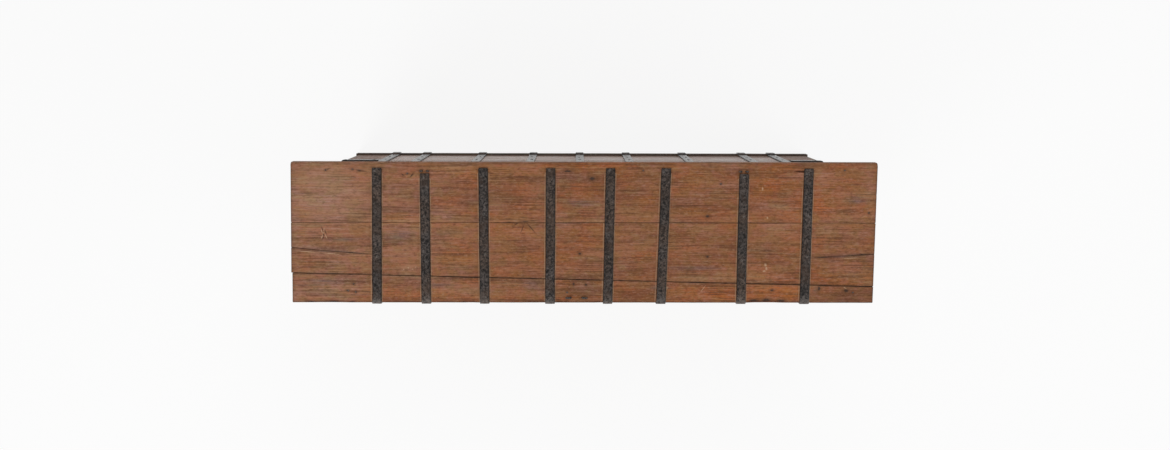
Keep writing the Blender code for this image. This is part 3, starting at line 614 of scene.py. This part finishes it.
def iron_material(name):
    """Black forged iron: scale, hammer marks, pits, rust, grime and painted shade at edges, wear and painted
    highlights.
    """
    iron = Shader(bpy.data.materials.new(name))
    place = iron.place()
    mottle = iron.noise(place, 160, 160, 5, 0.80)
    specks = iron.noise(place, 420, 420, 2, 0.7)
    rust = iron.noise(place, 16, 16, 5, 0.65)
    hammer = iron.noise(place, 70, 70, 1)
    slow = iron.noise(place, 13, 13, 2)
    hue = iron.separate(iron.noise(place, 8, 8, output="Color"))[1]

    iron.colour = iron.mix(iron.fade(mottle, 0.40, 0.64), DARK_SCALE, BROWN_SCALE)
    iron.tinge(iron.fade(hue, 0.40, 0.60), STEEL, RUSSET)
    iron.tinge(iron.fade(slow, 0.35, 0.65), SHADED, LIT)
    iron.cover(iron.fade(rust, 0.46, 0.66, 0.0, 0.60), RUST)
    iron.cover(iron.fade(specks, 0.60, 0.74, 0.0, 0.75), GREY_SPECK)
    iron.cover(iron.fade(specks, 0.40, 0.28, 0.0, 0.8), PIT_AND_EDGE_SHADE)
    # Grime and painted shade along the rims and sides of straps
    iron.cover(iron.times(iron.attribute("edge", "Fac"), 0.9), PIT_AND_EDGE_SHADE)
    # Rubbed bare places, with a painted highlight at the lid straps' bends
    worn = iron.attribute("worn", "Fac")
    bright = iron.times(worn, iron.fade(mottle, 0.36, 0.58, 0.15, 1.0), clamp=True)
    iron.cover(iron.times(bright, 0.7), BARE_IRON)
    iron.set(Base_Color=iron.colour, Specular_IOR_Level=IRON_SHINE)
    iron.set(Roughness=iron.fade(mottle, 0.3, 0.7, 0.32, 0.16))
    height = iron.plus(iron.times(specks, 0.35), hammer)
    height = iron.plus(height, iron.times(mottle, 0.6))
    iron.set(Normal=iron.bump(height, *IRON_BUMP))
    return iron.owner


WALL_WOOD = wood_material("old wall planks", WALL_PALETTE)
PLINTH_WOOD = wood_material("stained plinth", PLINTH_PALETTE)
IRON = iron_material("forged iron")


# Meshes


def add_object(name, data):
    thing = bpy.data.objects.new(name, data)
    bpy.context.scene.collection.objects.link(thing)
    return thing


def new_piece(name, mesh, material, body, nodes=(), sharp=35):
    """A piece that rides on a body, takes a material and hides the nodes that it is made from."""
    mesh.materials.append(material)
    mesh.shade_smooth()
    mesh.set_sharp_from_angle(angle=radians(sharp))
    piece = add_object(name, mesh)
    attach(piece, body)
    if nodes:
        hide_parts(*nodes)


LAYER_KINDS = {"grain": ("FLOAT_VECTOR", "vector"), "age": ("FLOAT_COLOR", "color")}


def set_layers(mesh, **layers):
    """Stores one value for each vertex in each named layer, for materials to read."""
    for name, values in layers.items():
        kind, field = LAYER_KINDS.get(name, ("FLOAT", "value"))
        flat = values if kind == "FLOAT" else [number for value in values for number in value]
        mesh.attributes.new(name, kind, "POINT").data.foreach_set(field, flat)


def set_even_wear(mesh, worn):
    """Makes iron evenly worn, with no dark edges."""
    count = len(mesh.vertices)
    set_layers(mesh, edge=[0.0] * count, worn=[worn] * count)


def loft_mesh(name, *lofts):
    """A mesh of closed lofts, each through rings of as many points with both ends capped."""
    points, faces = [], []
    for sections in lofts:
        first, count = len(points), len(sections[0])
        points += [point for section in sections for point in section]
        for ring in range(len(sections) - 1):
            start, after = first + ring * count, first + (ring + 1) * count
            for place in range(count):
                ahead = (place + 1) % count
                faces.append((start + place, after + place, after + ahead, start + ahead))
        faces.append(tuple(range(first, first + count)))
        faces.append(tuple(reversed(range(len(points) - count, len(points)))))
    mesh = bpy.data.meshes.new(name)
    mesh.from_pydata(points, [], faces)
    shape = bmesh.new()
    shape.from_mesh(mesh)
    bmesh.ops.recalc_face_normals(shape, faces=shape.faces)
    shape.to_mesh(mesh)
    shape.free()
    return mesh


def node_points(node):
    return [vertex.co for vertex in frame["nodes"][node].data.vertices]


def nodes_of(kind):
    """The nodes whose names start with a kind of part, in the order of their names."""
    return sorted(name for name in frame["nodes"] if name.startswith(kind))


def span(values):
    """The least and the greatest of some values."""
    values = list(values)
    return min(values), max(values)


def between(low, high, share):
    return low + (high - low) * share


def ramp(value, low, high):
    """A smooth step from 0 to 1, while the value goes from low to high."""
    share = min(1, max(0, (value - low) / (high - low)))
    return share * share * (3 - 2 * share)


def spread(low, high, step):
    """Evenly spaced values from low to high, about a step apart."""
    count = max(1, round((high - low) / step))
    return [between(low, high, place / count) for place in range(count + 1)]


def along_knots(knots, place):
    """Values between the knots of a line, each knot with its place first."""
    for before, after in zip(knots, knots[1:]):
        if place <= after[0]:
            share = (place - before[0]) / (after[0] - before[0])
            return [between(a, b, min(1, max(0, share))) for a, b in zip(before[1:], after[1:])]
    return knots[-1][1:]


def bumps(*place):
    """Smooth noise from -1 to 1 at up to three coordinates."""
    return noise.noise(Vector((*place, 0.5, 0.5)[:3]))


# Planks


def patch_level(patches, point):
    """The strongest of some soft round patches at a point."""
    level = 0.0
    for x, y, reach_x, reach_y, strength in patches:
        along = (point.x - x) / reach_x
        across = (point.y - y) / reach_y
        level = max(level, strength * exp(-(along**2) - across**2))
    return level


def lid_age(point):
    """Film, warmth, rubbing and stains at a point of the lid's boards."""
    if point.z < LID_TOP - LID_EDGES["back"][1].radius:
        return LID_INNER_AGE
    return [patch_level(patches, point) for patches in LID_PATCHES.values()]


def wall_age(point):
    """Film, warmth, rubbing and darkening of the walls: darker towards the foot, and stained at both ends of
    the back.
    """
    film = 0.25 * max(0.0, bumps(point.x * 3, point.z * 4, point.y * 3))
    warmth = 0.25 + 0.25 * bumps(point.x * 2 + 7, point.z * 5)
    # The walls grow darker towards the foot
    foot = between(*FOOT_DARK_HEIGHTS, ramp(point.x, *FOOT_DARK_ENDS))
    foot += FOOT_DARK_WAVE * bumps(point.x * 11, point.y * 9)
    darkening = ramp(point.z, *(foot + fade for fade in FOOT_DARK_FADE))
    if point.y > BACK_STAIN_Y:
        darkening = max(darkening, BACK_STAIN_LEVEL * ramp(abs(point.x), *BACK_STAIN_X))
    return film, warmth, 0.0, darkening


# Angles at which a rounded edge is cut
QUARTER_TURN = [pi / 2 * step / ROUND_STEPS for step in range(ROUND_STEPS + 1)]


def side_ring(edge, inward, foot, top, soft, dirt):
    """One side of a plank's ring, from its outer face to its underside, as (across, out, edge)."""
    ring = [
        (edge + inward * soft * (1 - sin(turn)), top - soft * (1 - cos(turn)), dirt)
        for turn in QUARTER_TURN[1:]
    ]
    ring += [(edge, between(foot, top, share), SIDE_DIRT) for share in SIDE_SHARES]
    ring.append((edge, foot + UNDERSIDE_ROUNDING, UNDERSIDE_DIRT))
    ring.append((edge + inward * UNDERSIDE_ROUNDING, foot, UNDERSIDE_DIRT))
    return ring


Axes = namedtuple("Axes", "along across out")


class PlankShape:
    """One plank in the place of a board, with worn edges, and dents and splits in its outer face."""

    def __init__(self, node, axes, seed, edges, splits=(), chips=(), skew=0.0):
        self.axes, self.seed, self.edges = axes, seed, edges
        self.splits, self.chips, self.skew = splits, chips, skew
        corners = [[point.dot(axis) for axis in axes] for point in node_points(node)]
        self.first, self.last = span(corner[0] for corner in corners)
        self.foot, self.top = span(corner[2] for corner in corners)
        self.limits = [
            span(corner[1] for corner in corners if abs(corner[0] - end) < 2 * END_EDGE.radius)
            for end in (self.first, self.last)
        ]

    def share(self, place):
        """How far along the plank a place is, from 0 to 1."""
        return (place - self.first) / (self.last - self.first)

    def rounding(self, side, place):
        """The worn radius of an outer edge, 0 for the low side and 1 for the high one."""
        wear = 0.45 * bumps(place * 14, side * 9 + self.seed)
        wear += 0.25 * bumps(place * 60, side * 5 - self.seed)
        radius = self.edges[side].radius * (1 + wear)
        if side == 0:
            ragged = 1 + 0.5 * bumps(place * 160, self.seed)
            for centre, reach, depth in self.chips:
                radius += depth * ragged * exp(-(((place - centre) / reach) ** 4))
        return radius

    def split_lines(self, place):
        """For each split, five lines across it as (across, depth)."""
        lines = []
        for number, knots in enumerate(self.splits):
            middle, width = along_knots(knots, place)
            wander = bumps(place * 22, number * 3.3) + 0.5 * bumps(place * 70, number * 7.7)
            middle += SPLIT_WANDER * wander
            half = max(CLOSED_SPLIT, width / 2 * (1 + 0.35 * bumps(place * 90, number * 1.7)))
            depth = SPLIT_DEPTH_SHARE * width
            lines.append((middle, depth))
            for way in (-1, 1):
                lines.append((middle + way * half, SPLIT_EDGE_SHARE * depth))
                lines.append((middle + way * (half + SPLIT_LIP), 0.0))
        return lines

    def face_lines(self, place, low, high):
        """Lines over the outer face from its low to its high edge, as (across, depth)."""
        lines = self.split_lines(place)
        count = max(3, round((self.limits[0][1] - self.limits[0][0]) / PLANK_LINE))
        shares = [number / count for number in range(count + 1)]
        lines += [(between(low, high, share), 0.0) for share in shares if self.is_clear(share)]
        lines += [(low + line, 0.0) for line in EDGE_LINES] + [(high - line, 0.0) for line in EDGE_LINES]
        return sorted(lines)

    def is_clear(self, share):
        """Whether an even line is an edge, or stays on one side of each split and well away from it."""
        if share in (0, 1):
            return True
        lane = [between(*limits, share) for limits in self.limits]
        for knots in self.splits:
            gaps = [between(*lane, self.share(knot[0])) - knot[1] for knot in knots]
            sides = {gap > 0 for gap in gaps}
            if len(sides) > 1 or min(map(abs, gaps)) <= SPLIT_CLEARANCE:
                return False
        return True

    def outer_face(self, place, low, high, top, dirt):
        """Points over the outer face, dented between its edges and dirty near them."""
        points = []
        for across, depth in self.face_lines(place, low, high):
            dip = RELIEF * (0.5 + 0.5 * bumps(place * 5, across * 26, self.seed))
            dip += 0.4 * RELIEF * (1 + bumps(place * 18, across * 140, self.seed + 4))
            rims = across - low, high - across
            dark = max(level * exp(-rim / edge.fade) for level, rim, edge in zip(dirt, rims, self.edges))
            dip *= min(1, max(0, min(rims) / RELIEF_FADE))
            points.append((across, top - depth - dip, dark))
        return points

    def section(self, place, inset):
        """The ring at one place along the plank, as (across, out, edge), drawn in by inset at the ends."""
        low, high = (between(*limits, self.share(place)) for limits in zip(*self.limits))
        low, high = low + inset, high - inset
        top, foot = self.top - inset, self.foot + inset
        soft = [self.rounding(side, place) for side in (0, 1)]
        ragged = 0.75 + 0.45 * bumps(place * 75, self.seed)
        dirt = [ragged * along_knots(edge.dirt, place)[0] for edge in self.edges]
        ring = self.outer_face(place, low + soft[0], high - soft[1], top, dirt)
        ring += side_ring(high, -1, foot, top, soft[1], dirt[1])
        ring += [(between(high, low, share), foot, 0.0) for share in UNDERSIDE_SHARES]
        ring += reversed(side_ring(low, 1, foot, top, soft[0], dirt[0]))
        return ring

    def stations(self):
        """Places along the plank, with how far its ring is drawn in at end faces and rounded edges."""
        radius = END_EDGE.radius
        ends = [(0.0, radius + END_RIM)]
        ends += [(radius * (1 - cos(turn)), radius * (1 - sin(turn))) for turn in QUARTER_TURN[:-1]]
        ends += [(reach * radius, 0.0) for reach in (1, 2, 4)]
        inner = spread(self.first + 6 * radius, self.last - 6 * radius, PLANK_STEP)
        heads = [(self.first + gap, inset) for gap, inset in ends]
        tails = [(self.last - gap, inset) for gap, inset in reversed(ends)]
        return heads + [(place, 0.0) for place in inner] + tails

    def point(self, place, across, out):
        """A point of the plank in the frame, with the slant of its low end."""
        slant = self.skew * (across - LID_SKEW_CENTRE)
        along = place + slant * max(0.0, 1 - (place - self.first) / LID_SKEW_REACH)
        return self.axes.along * along + self.axes.across * across + self.axes.out * out

    def mesh(self, name, age):
        sections, grain, edges = [], [], []
        shifts = [shift * self.seed for shift in GRAIN_SHIFT]
        for place, inset in self.stations():
            ring = self.section(place, inset)
            sections.append([self.point(place, across, out) for across, out, _ in ring])
            grain += [(place + shifts[0], across + shifts[1], out + shifts[2]) for across, out, _ in ring]
            if inset > END_EDGE.radius:
                edges += [END_FACE_DIRT] * len(ring)
            else:
                # Grime and painted shade near the ends
                end_gap = min(place - self.first, self.last - place)
                end_grime_and_shade = END_EDGE.dirt[0][1] * exp(-end_gap / END_EDGE.fade)
                edges += [max(edge, end_grime_and_shade) for _, _, edge in ring]
        mesh = loft_mesh(name, sections)
        set_layers(mesh, grain=grain, edge=edges, age=[age(vertex.co) for vertex in mesh.vertices])
        return mesh


def add_lid_planks():
    axes = Axes(RIGHT, BACK, UP)
    for seed, (place, edges) in enumerate(LID_EDGES.items(), 1):
        node = f"lid_board_{place}"
        chips = LID_CHIPS if place == "front" else ()
        shape = PlankShape(node, axes, seed, edges, LID_SPLITS.get(node, ()), chips, LID_END_SKEW)
        mesh = shape.mesh(f"lid_plank_{place}", lid_age)
        new_piece(mesh.name, mesh, lid_wood(place), "lid", [node])


def wall_splits(node, axes):
    """The splits of a wall board, at their places along and across it."""
    low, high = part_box(node)

    def at(axis, share):
        return between(low.dot(axis), high.dot(axis), share)

    return [
        [(at(axes.along, along), at(axes.across, across), width) for along, across, width in knots]
        for knots in WALL_SPLITS.get(node, ())
    ]


def add_wall_planks():
    """Walls, floor and battens. The grain of the long boards runs along X, that of the others along Y."""
    faces = {
        "front_board": Axes(RIGHT, UP, -BACK),
        "back_board": Axes(RIGHT, UP, BACK),
        "left_end_board": Axes(BACK, UP, -RIGHT),
        "right_end_board": Axes(BACK, UP, RIGHT),
        "floor_board": Axes(RIGHT, BACK, UP),
        "lid_batten": Axes(BACK, RIGHT, -UP),
    }
    boards = [(kind, node) for kind in faces for node in nodes_of(kind)]
    for seed, (kind, node) in enumerate(boards, FIRST_WALL_SEED):
        axes = faces[kind]
        shape = PlankShape(node, axes, seed, (WALL_EDGE, WALL_EDGE), wall_splits(node, axes))
        mesh = shape.mesh(node.replace("board", "plank"), wall_age)
        body = "lid" if kind == "lid_batten" else "carcass"
        new_piece(f"old_{mesh.name}", mesh, WALL_WOOD, body, [node])


# Plinth


def plinth_shoulder(node, out):
    """The height at which a plinth's chamfer starts: the top of its outermost face."""
    points = node_points(node)
    outer = max(point.dot(out) for point in points)
    return max(point.z for point in points if point.dot(out) > outer - FACE_TOLERANCE)


def plinth_profile(inner, outer, height, shoulder):
    """The outline of a plinth from the wall round its face, as (distance out, height, rubbing)."""
    soft, chamfer = PLINTH_ROUNDING, height - shoulder
    return [
        (inner, 0, 0.3),
        (outer - soft, 0, 0.6),
        (outer, soft, 0.6),
        (outer, height * 0.3, 0.0),
        (outer, height * 0.6, 0.0),
        (outer, shoulder - soft, 0.7),
        (outer - soft, shoulder + soft, 0.9),
        (outer - chamfer + soft, height - soft, 0.9),
        (outer - chamfer - soft, height, 0.6),
        (inner, height, 0.3),
    ]


def add_plinth():
    """Thin skirting boards with softened corners, mitred where they meet."""
    sides = ("front", RIGHT, -BACK), ("back", -RIGHT, BACK), ("left", -BACK, -RIGHT), ("right", BACK, RIGHT)
    for seed, (side, along, out) in enumerate(sides, FIRST_PLINTH_SEED):
        node = f"plinth_{side}"
        corners = node_points(node)
        first, last = span(corner.dot(along) for corner in corners)
        inner, outer = span(corner.dot(out) for corner in corners)
        height = max(corner.z for corner in corners)
        profile = plinth_profile(inner, outer, height, plinth_shoulder(node, out))
        sections, grain, age = [], [], []
        for share in spread(0, 1, PLINTH_STEP / (last - first)):
            points = []
            for away, z, edge in profile:
                mitre = outer - away
                place = between(first + mitre, last - mitre, share)
                dent = PLINTH_DENT * (bumps(place * 8, z * 30, seed) - 1) if away > inner else 0
                points.append(along * place + out * (away + dent * min(1, z / PLINTH_ROUNDING)) + UP * z)
                grain.append((place + seed, away, z))
                rubbed = edge * (0.5 + 0.5 * bumps(place * 20, z * 50, seed))
                age.append((PLINTH_FILM, PLINTH_WARMTH, max(0.0, rubbed), PLINTH_STAIN))
            sections.append(points)
        mesh = loft_mesh(f"old_plinth_{side}", sections)
        set_layers(mesh, grain=grain, edge=[0.0] * len(age), age=age)
        new_piece(mesh.name, mesh, PLINTH_WOOD, "carcass", [node])


# Iron straps


def bent_path(corners, radius):
    """Points along straight stretches with a round bend at each corner."""
    points = [corners[0]]
    for before, corner, after in zip(corners, corners[1:], corners[2:]):
        into, away = (before - corner).normalized(), (after - corner).normalized()
        half_angle = into.angle(away) / 2
        reach = radius / tan(half_angle)
        centre = corner + (into + away).normalized() * radius / sin(half_angle)
        start, end = corner + into * reach - centre, corner + away * reach - centre
        for step in range(ROUND_STEPS + 1):
            points.append(centre + start.lerp(end, step / ROUND_STEPS).normalized() * radius)
    points.append(corners[-1])
    return points


def stepped(points, step):
    """The same path with long stretches cut into steps."""
    path = [points[0]]
    for before, after in zip(points, points[1:]):
        count = max(1, round((after - before).length / step))
        path += [before.lerp(after, number / count) for number in range(1, count + 1)]
    return path


def strap_ring(run, end, seed):
    """The ring of a forged bar after a run along it, as (sideways, out, edge), drawn in by end."""
    left, right = (
        STRAP_WIDTH / 2 - end + STRAP_WOBBLE * bumps(run * 26, seed * 2.3 + way * 11) for way in (0, 1)
    )
    ring = []
    for place in spread(0, 1, 1 / (STRAP_LINES - 1)):
        offset = between(STRAP_EDGE - left, right - STRAP_EDGE, place)
        dent = STRAP_DENT * (bumps(run * 48, offset * 90, seed) + 0.6 * bumps(run * 9, seed, 3.0))
        # The rims of the top and the sides carry grime and painted shade
        ring.append((offset, STRAP_THICKNESS - end + dent, 0.0 if 0 < place < 1 else STRAP_RIM_GRIME_AND_SHADE))
    shoulder = STRAP_THICKNESS - STRAP_EDGE
    sides = (right, shoulder), (right, 0.0), (-left, 0.0), (-left, shoulder)
    return ring + [(offset, out, STRAP_SIDE_GRIME_AND_SHADE) for offset, out in sides]


def strap_loft(corners, across, seed, bend_wear_and_highlight, lean=0.0):
    """Rings of a hand-forged flat bar on a path, as (point, edge, worn) all round each one."""
    path = stepped(bent_path(corners, STRAP_BEND), STRAP_STEP)
    rings, final = [], len(path) - 1
    for number, point in enumerate(path):
        along = (path[min(number + 1, final)] - path[max(number - 1, 0)]).normalized()
        out = along.cross(across)
        run = number * STRAP_STEP
        ring = strap_ring(run, STRAP_END if number in (0, final) else 0.0, seed)
        drift = lean * (number / final - 0.5) + 0.4 * STRAP_WOBBLE * bumps(run * 7, seed)
        # Rubbed bare near the bends, with a painted highlight there on the lid straps
        bend = min((point - corner).length for corner in corners[1:-1])
        worn = bend_wear_and_highlight * exp(-bend / BEND_WEAR_AND_HIGHLIGHT_REACH) + STRAP_WEAR
        rings.append([
            (point + across * (drift + offset) + out * away, edge, worn) for offset, away, edge in ring
        ])
    return rings


def forged_mesh(name, lofts):
    mesh = loft_mesh(name, *[[[corner[0] for corner in ring] for ring in loft] for loft in lofts])
    corners = [corner for loft in lofts for ring in loft for corner in ring]
    set_layers(mesh, edge=[edge for _, edge, _ in corners], worn=[worn for _, _, worn in corners])
    return mesh


def strap_nails(corners, across, rng):
    """Places for nails along the straight stretches of a strap, as (point, out)."""
    places = []
    for before, after in zip(corners, corners[1:]):
        length = (after - before).length
        if length < 4 * STRAP_NAIL_INSET:
            continue
        along = (after - before) / length
        out = along.cross(across)
        for run in spread(STRAP_NAIL_INSET, length - STRAP_NAIL_INSET, STRAP_NAIL_PITCH):
            sideways, onward = (rng.uniform(-drift, drift) for drift in STRAP_NAIL_DRIFT)
            point = before + along * (run + onward) + across * sideways
            places.append((point + out * STRAP_THICKNESS, out))
    return places


def lid_strap_corners(node):
    low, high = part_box(node)
    x, top = middle_x(node), high.z - STRAP_THICKNESS
    front = low.y + STRAP_THICKNESS
    return [Vector((x, high.y, top)), Vector((x, front, top)), Vector((x, front, low.z))]


def wall_strap_corners(node, side, plinth, x):
    """From the foot up the plinth, in along its chamfer and up the wall: side -1 in front, 1 behind."""
    low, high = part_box(node)
    inner, outer = span(side * corner.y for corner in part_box(plinth))
    gap = max(side * low.y, side * high.y) - STRAP_THICKNESS - outer
    slope_foot = plinth_shoulder(plinth, BACK * side) + gap
    slope_head = slope_foot + outer - inner
    path = [(outer + gap, low.z), (outer + gap, slope_foot), (inner, slope_head), (inner, high.z)]
    return [Vector((x, side * away, z)) for away, z in path]


def end_band_marks(node):
    """The height of a band, the x of its tip on the front and the x of the upright that it is forged to."""
    points = node_points(node)
    front = [point for point in points if point.y < 0]
    height = sum(span(point.z for point in front)) / 2
    upright = sum(span(point.x for point in points if point.z < height - STRAP_WIDTH)) / 2
    return height, min((point.x for point in front), key=abs), upright


def end_band_corners(node, side):
    """Round an end of the chest, from the tip on the front to the upright at the back."""
    low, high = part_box(node)
    z, tip, upright = end_band_marks(node)
    end = side * (max(abs(low.x), abs(high.x)) - STRAP_THICKNESS)
    front, back = low.y + STRAP_THICKNESS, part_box("back_strap_1")[0].y
    weld = upright + side * (STRAP_WIDTH / 2 - STRAP_WELD)
    return [Vector(p) for p in ((tip, front, z), (end, front, z), (end, back, z), (weld, back, z))]


def add_strap(node, paths, body, seed, rng, lean=0.0):
    """A piece for a strap of one or more flat bars, each as (corners, across). Gives its nails' places."""
    bend_wear_and_highlight = LID_BEND_WEAR_AND_HIGHLIGHT if body == "lid" else 0.0
    lofts = [
        strap_loft(corners, across, seed + 7 * number, bend_wear_and_highlight, lean)
        for number, (corners, across) in enumerate(paths)
    ]
    mesh = forged_mesh(f"forged_{node}", lofts)
    new_piece(f"forged_{node}", mesh, IRON, body, [node], sharp=50)
    return [nail for corners, across in paths for nail in strap_nails(corners, across, rng)]


def add_straps():
    rng = random.Random(STRAP_NAIL_SEED)
    nails = {"lid": [], "front": [], "back": [], "ends": []}
    for seed, (node, lean) in enumerate(zip(LID_STRAPS, LID_STRAP_LEANS), 1):
        nails["lid"] += add_strap(node, [(lid_strap_corners(node), RIGHT)], "lid", seed, rng, lean)
    for side, face, across in ((-1, "front", -RIGHT), (1, "back", RIGHT)):
        for node in nodes_of(f"{face}_strap"):
            corners = wall_strap_corners(node, side, f"plinth_{face}", middle_x(node))
            nails[face] += add_strap(node, [(corners, across)], "carcass", len(nails[face]) + side, rng)
    for side, name, across in ((-1, "left", -UP), (1, "right", UP)):
        node = f"end_band_{name}"
        upright = wall_strap_corners(node, 1, "plinth_back", end_band_marks(node)[2])
        paths = [(end_band_corners(node, side), across), (upright, RIGHT)]
        nails["ends"] += add_strap(node, paths, "carcass", END_BAND_SEED + side, rng)
    for face, places in nails.items():
        add_nails(f"{face}_strap_nails", "lid" if face == "lid" else "carcass", places, STRAP_NAIL, rng)


# Nails


def nail_head(place, out, size, rng):
    """Rings of one low hammered head at a point of a surface, with the direction out of it."""
    radius, height = size
    side = out.orthogonal().normalized()
    other = out.cross(side)
    turn, grow = rng.uniform(0, tau), rng.uniform(*NAIL_GROWTH)
    rings = []
    for reach, rise in ((1.0, -NAIL_SUNK / height), *NAIL_PROFILE):
        ring = []
        for number in range(NAIL_SIDES):
            angle = turn + tau * number / NAIL_SIDES
            uneven = radius * reach * grow
            uneven *= 1 + rng.uniform(-NAIL_UNEVEN_RADIUS, NAIL_UNEVEN_RADIUS)
            flat = side * (uneven * cos(angle)) + other * (uneven * sin(angle))
            lift = height * (rise + rng.uniform(-NAIL_UNEVEN_HEIGHT, NAIL_UNEVEN_HEIGHT))
            ring.append(place + flat + out * lift)
        rings.append(ring)
    return rings


def add_nails(name, body, places, size, rng):
    """Nails of one size in one mesh, at places that are given as (point, out)."""
    mesh = loft_mesh(name, *[nail_head(place, out, size, rng) for place, out in places])
    set_even_wear(mesh, NAIL_WEAR)
    new_piece(name, mesh, IRON, body, sharp=60)


def add_loose_nails():
    """Nails at the corners of the walls, and old ones sunk into the lid."""
    rng = random.Random(LOOSE_NAIL_SEED)
    holes = [(Vector((x, y, LID_TOP - RELIEF)), UP) for x, y in LID_HOLES]
    add_nails("old_lid_nails", "lid", holes, HOLE_NAIL, rng)
    corners = []
    for face, out in (("front", -BACK), ("back", BACK)):
        for board in ("lower", "middle", "upper"):
            low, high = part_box(f"{face}_board_{board}")
            surface = max(low.dot(out), high.dot(out)) - RELIEF
            for x in (low.x + CORNER_NAIL_INSET, high.x - CORNER_NAIL_INSET):
                for share in CORNER_NAIL_SHARES:
                    z = between(low.z, high.z, share) + rng.uniform(-CORNER_NAIL_DRIFT, CORNER_NAIL_DRIFT)
                    corners.append((RIGHT * x + UP * z + out * surface, out))
    corners = [corner for corner in corners if corner[0].z > CORNER_NAIL_FOOT]
    add_nails("corner_nails", "carcass", corners, WALL_NAIL, rng)


# Wires and the hasp


def joined_mesh(node):
    """A copy of a node's mesh with its triangles joined to as few faces as its form allows."""
    shape = bmesh.new()
    shape.from_mesh(frame["nodes"][node].data)
    bmesh.ops.remove_doubles(shape, verts=shape.verts, dist=WIRE_WELD)
    flat = radians(WIRE_FLAT)
    bmesh.ops.dissolve_limit(shape, angle_limit=flat, verts=shape.verts, edges=shape.edges)
    bmesh.ops.join_triangles(
        shape,
        faces=shape.faces,
        angle_face_threshold=radians(WIRE_JOIN),
        angle_shape_threshold=radians(WIRE_SQUARE),
    )
    mesh = bpy.data.meshes.new(f"forged_{node}")
    shape.to_mesh(mesh)
    shape.free()
    return mesh


def add_wire(node, body, bevel=0.0):
    """A smooth copy of a wire or plate of the solids, with a slightly beaten surface."""
    mesh = joined_mesh(node)
    guide = add_object(mesh.name, mesh)
    if bevel:
        edges = guide.modifiers.new("soft edges", "BEVEL")
        edges.width, edges.segments, edges.limit_method = bevel, 2, "ANGLE"
    else:
        guide.modifiers.new("round", "SUBSURF").levels = 2
    graph = bpy.context.evaluated_depsgraph_get()
    made = bpy.data.meshes.new_from_object(guide.evaluated_get(graph))
    bpy.data.objects.remove(guide)
    normals = [vertex.normal.copy() for vertex in made.vertices]
    for vertex, normal in zip(made.vertices, normals):
        vertex.co += normal * WIRE_RELIEF * (1 + bumps(*(vertex.co * WIRE_RELIEF_CELLS)))
    set_even_wear(made, WIRE_WEAR)
    new_piece(f"forged_{node}", made, IRON, body, [node], sharp=40)


def add_wires():
    for body, nodes in frame["record"]["behaviour"]["bodies"].items():
        for node in nodes:
            if node == "hasp":
                add_wire(node, body, HASP_BEVEL)
            elif node.startswith(("hinge_eye", "handle", "hasp_hanger", "lock_staple")):
                add_wire(node, body)


# Studio and camera


def add_camera():
    data = bpy.data.cameras.new("camera")
    data.sensor_fit = "HORIZONTAL"
    data.sensor_width = SENSOR_WIDTH
    data.lens = FOCAL_PIXELS * SENSOR_WIDTH / PICTURE_WIDTH
    camera = add_object("camera", data)
    camera.location = CAMERA_PLACE
    camera.rotation_euler = [radians(angle) for angle in CAMERA_TURN]
    bpy.context.scene.camera = camera


def seen_white(shader):
    """1 for rays that show the backdrop itself: from the camera, in reflections and through glass."""
    rays = shader.add("ShaderNodeLightPath", {}).outputs
    seen = shader.math("MAXIMUM", rays["Is Camera Ray"], rays["Is Glossy Ray"])
    return shader.math("MAXIMUM", seen, rays["Is Transmission Ray"])


def floor_material():
    """Pale paint that glows white where it is seen, apart from a share that keeps the shadow."""
    shader = Shader(bpy.data.materials.new("pale floor"))
    shader.set(Base_Color=(FLOOR_WHITE, FLOOR_WHITE, FLOOR_WHITE, 1))
    shader.set(Roughness=FLOOR_ROUGHNESS, Specular_IOR_Level=FLOOR_SHINE)
    glow = shader.add("ShaderNodeEmission", {"Color": (1, 1, 1, 1), "Strength": 1.0})
    share = shader.times(seen_white(shader), FLOOR_GLOW)
    mixed = shader.add("ShaderNodeMixShader", {0: share, 1: shader.surface.outputs[0], 2: glow.outputs[0]})
    shader.put(shader.tree.nodes["Material Output"].inputs["Surface"], mixed.outputs[0])
    return shader.owner


def add_floor():
    mesh = bpy.data.meshes.new("floor")
    signs = ((-1, -1), (1, -1), (1, 1), (-1, 1))
    mesh.from_pydata([(x * FLOOR_REACH, y * FLOOR_REACH, 0) for x, y in signs], [], [(0, 1, 2, 3)])
    mesh.materials.append(floor_material())
    floor = add_object("floor", mesh)


def add_world():
    world = bpy.data.worlds.new("studio")
    bpy.context.scene.world = world
    shader = Shader(world, "Background")
    shader.set(Color=(1, 1, 1, 1), Strength=shader.fade(seen_white(shader), 0.0, 1.0, SKY_LEVEL, 1.0))


def add_lamps():
    for name, lamp in LAMPS.items():
        data = bpy.data.lights.new(name, "AREA")
        data.shape = "DISK"
        data.size = lamp.size
        data.energy = lamp.power
        light = add_object(name, data)
        light.location = lamp.place
        light.rotation_euler = (Vector(LAMP_TARGET) - Vector(lamp.place)).to_track_quat("-Z", "Y").to_euler()


add_camera()
add_world()
add_lamps()
add_floor()
add_lid_planks()
add_wall_planks()
add_plinth()
add_straps()
add_loose_nails()
add_wires()

bpy.context.scene.view_settings.view_transform = "Standard"
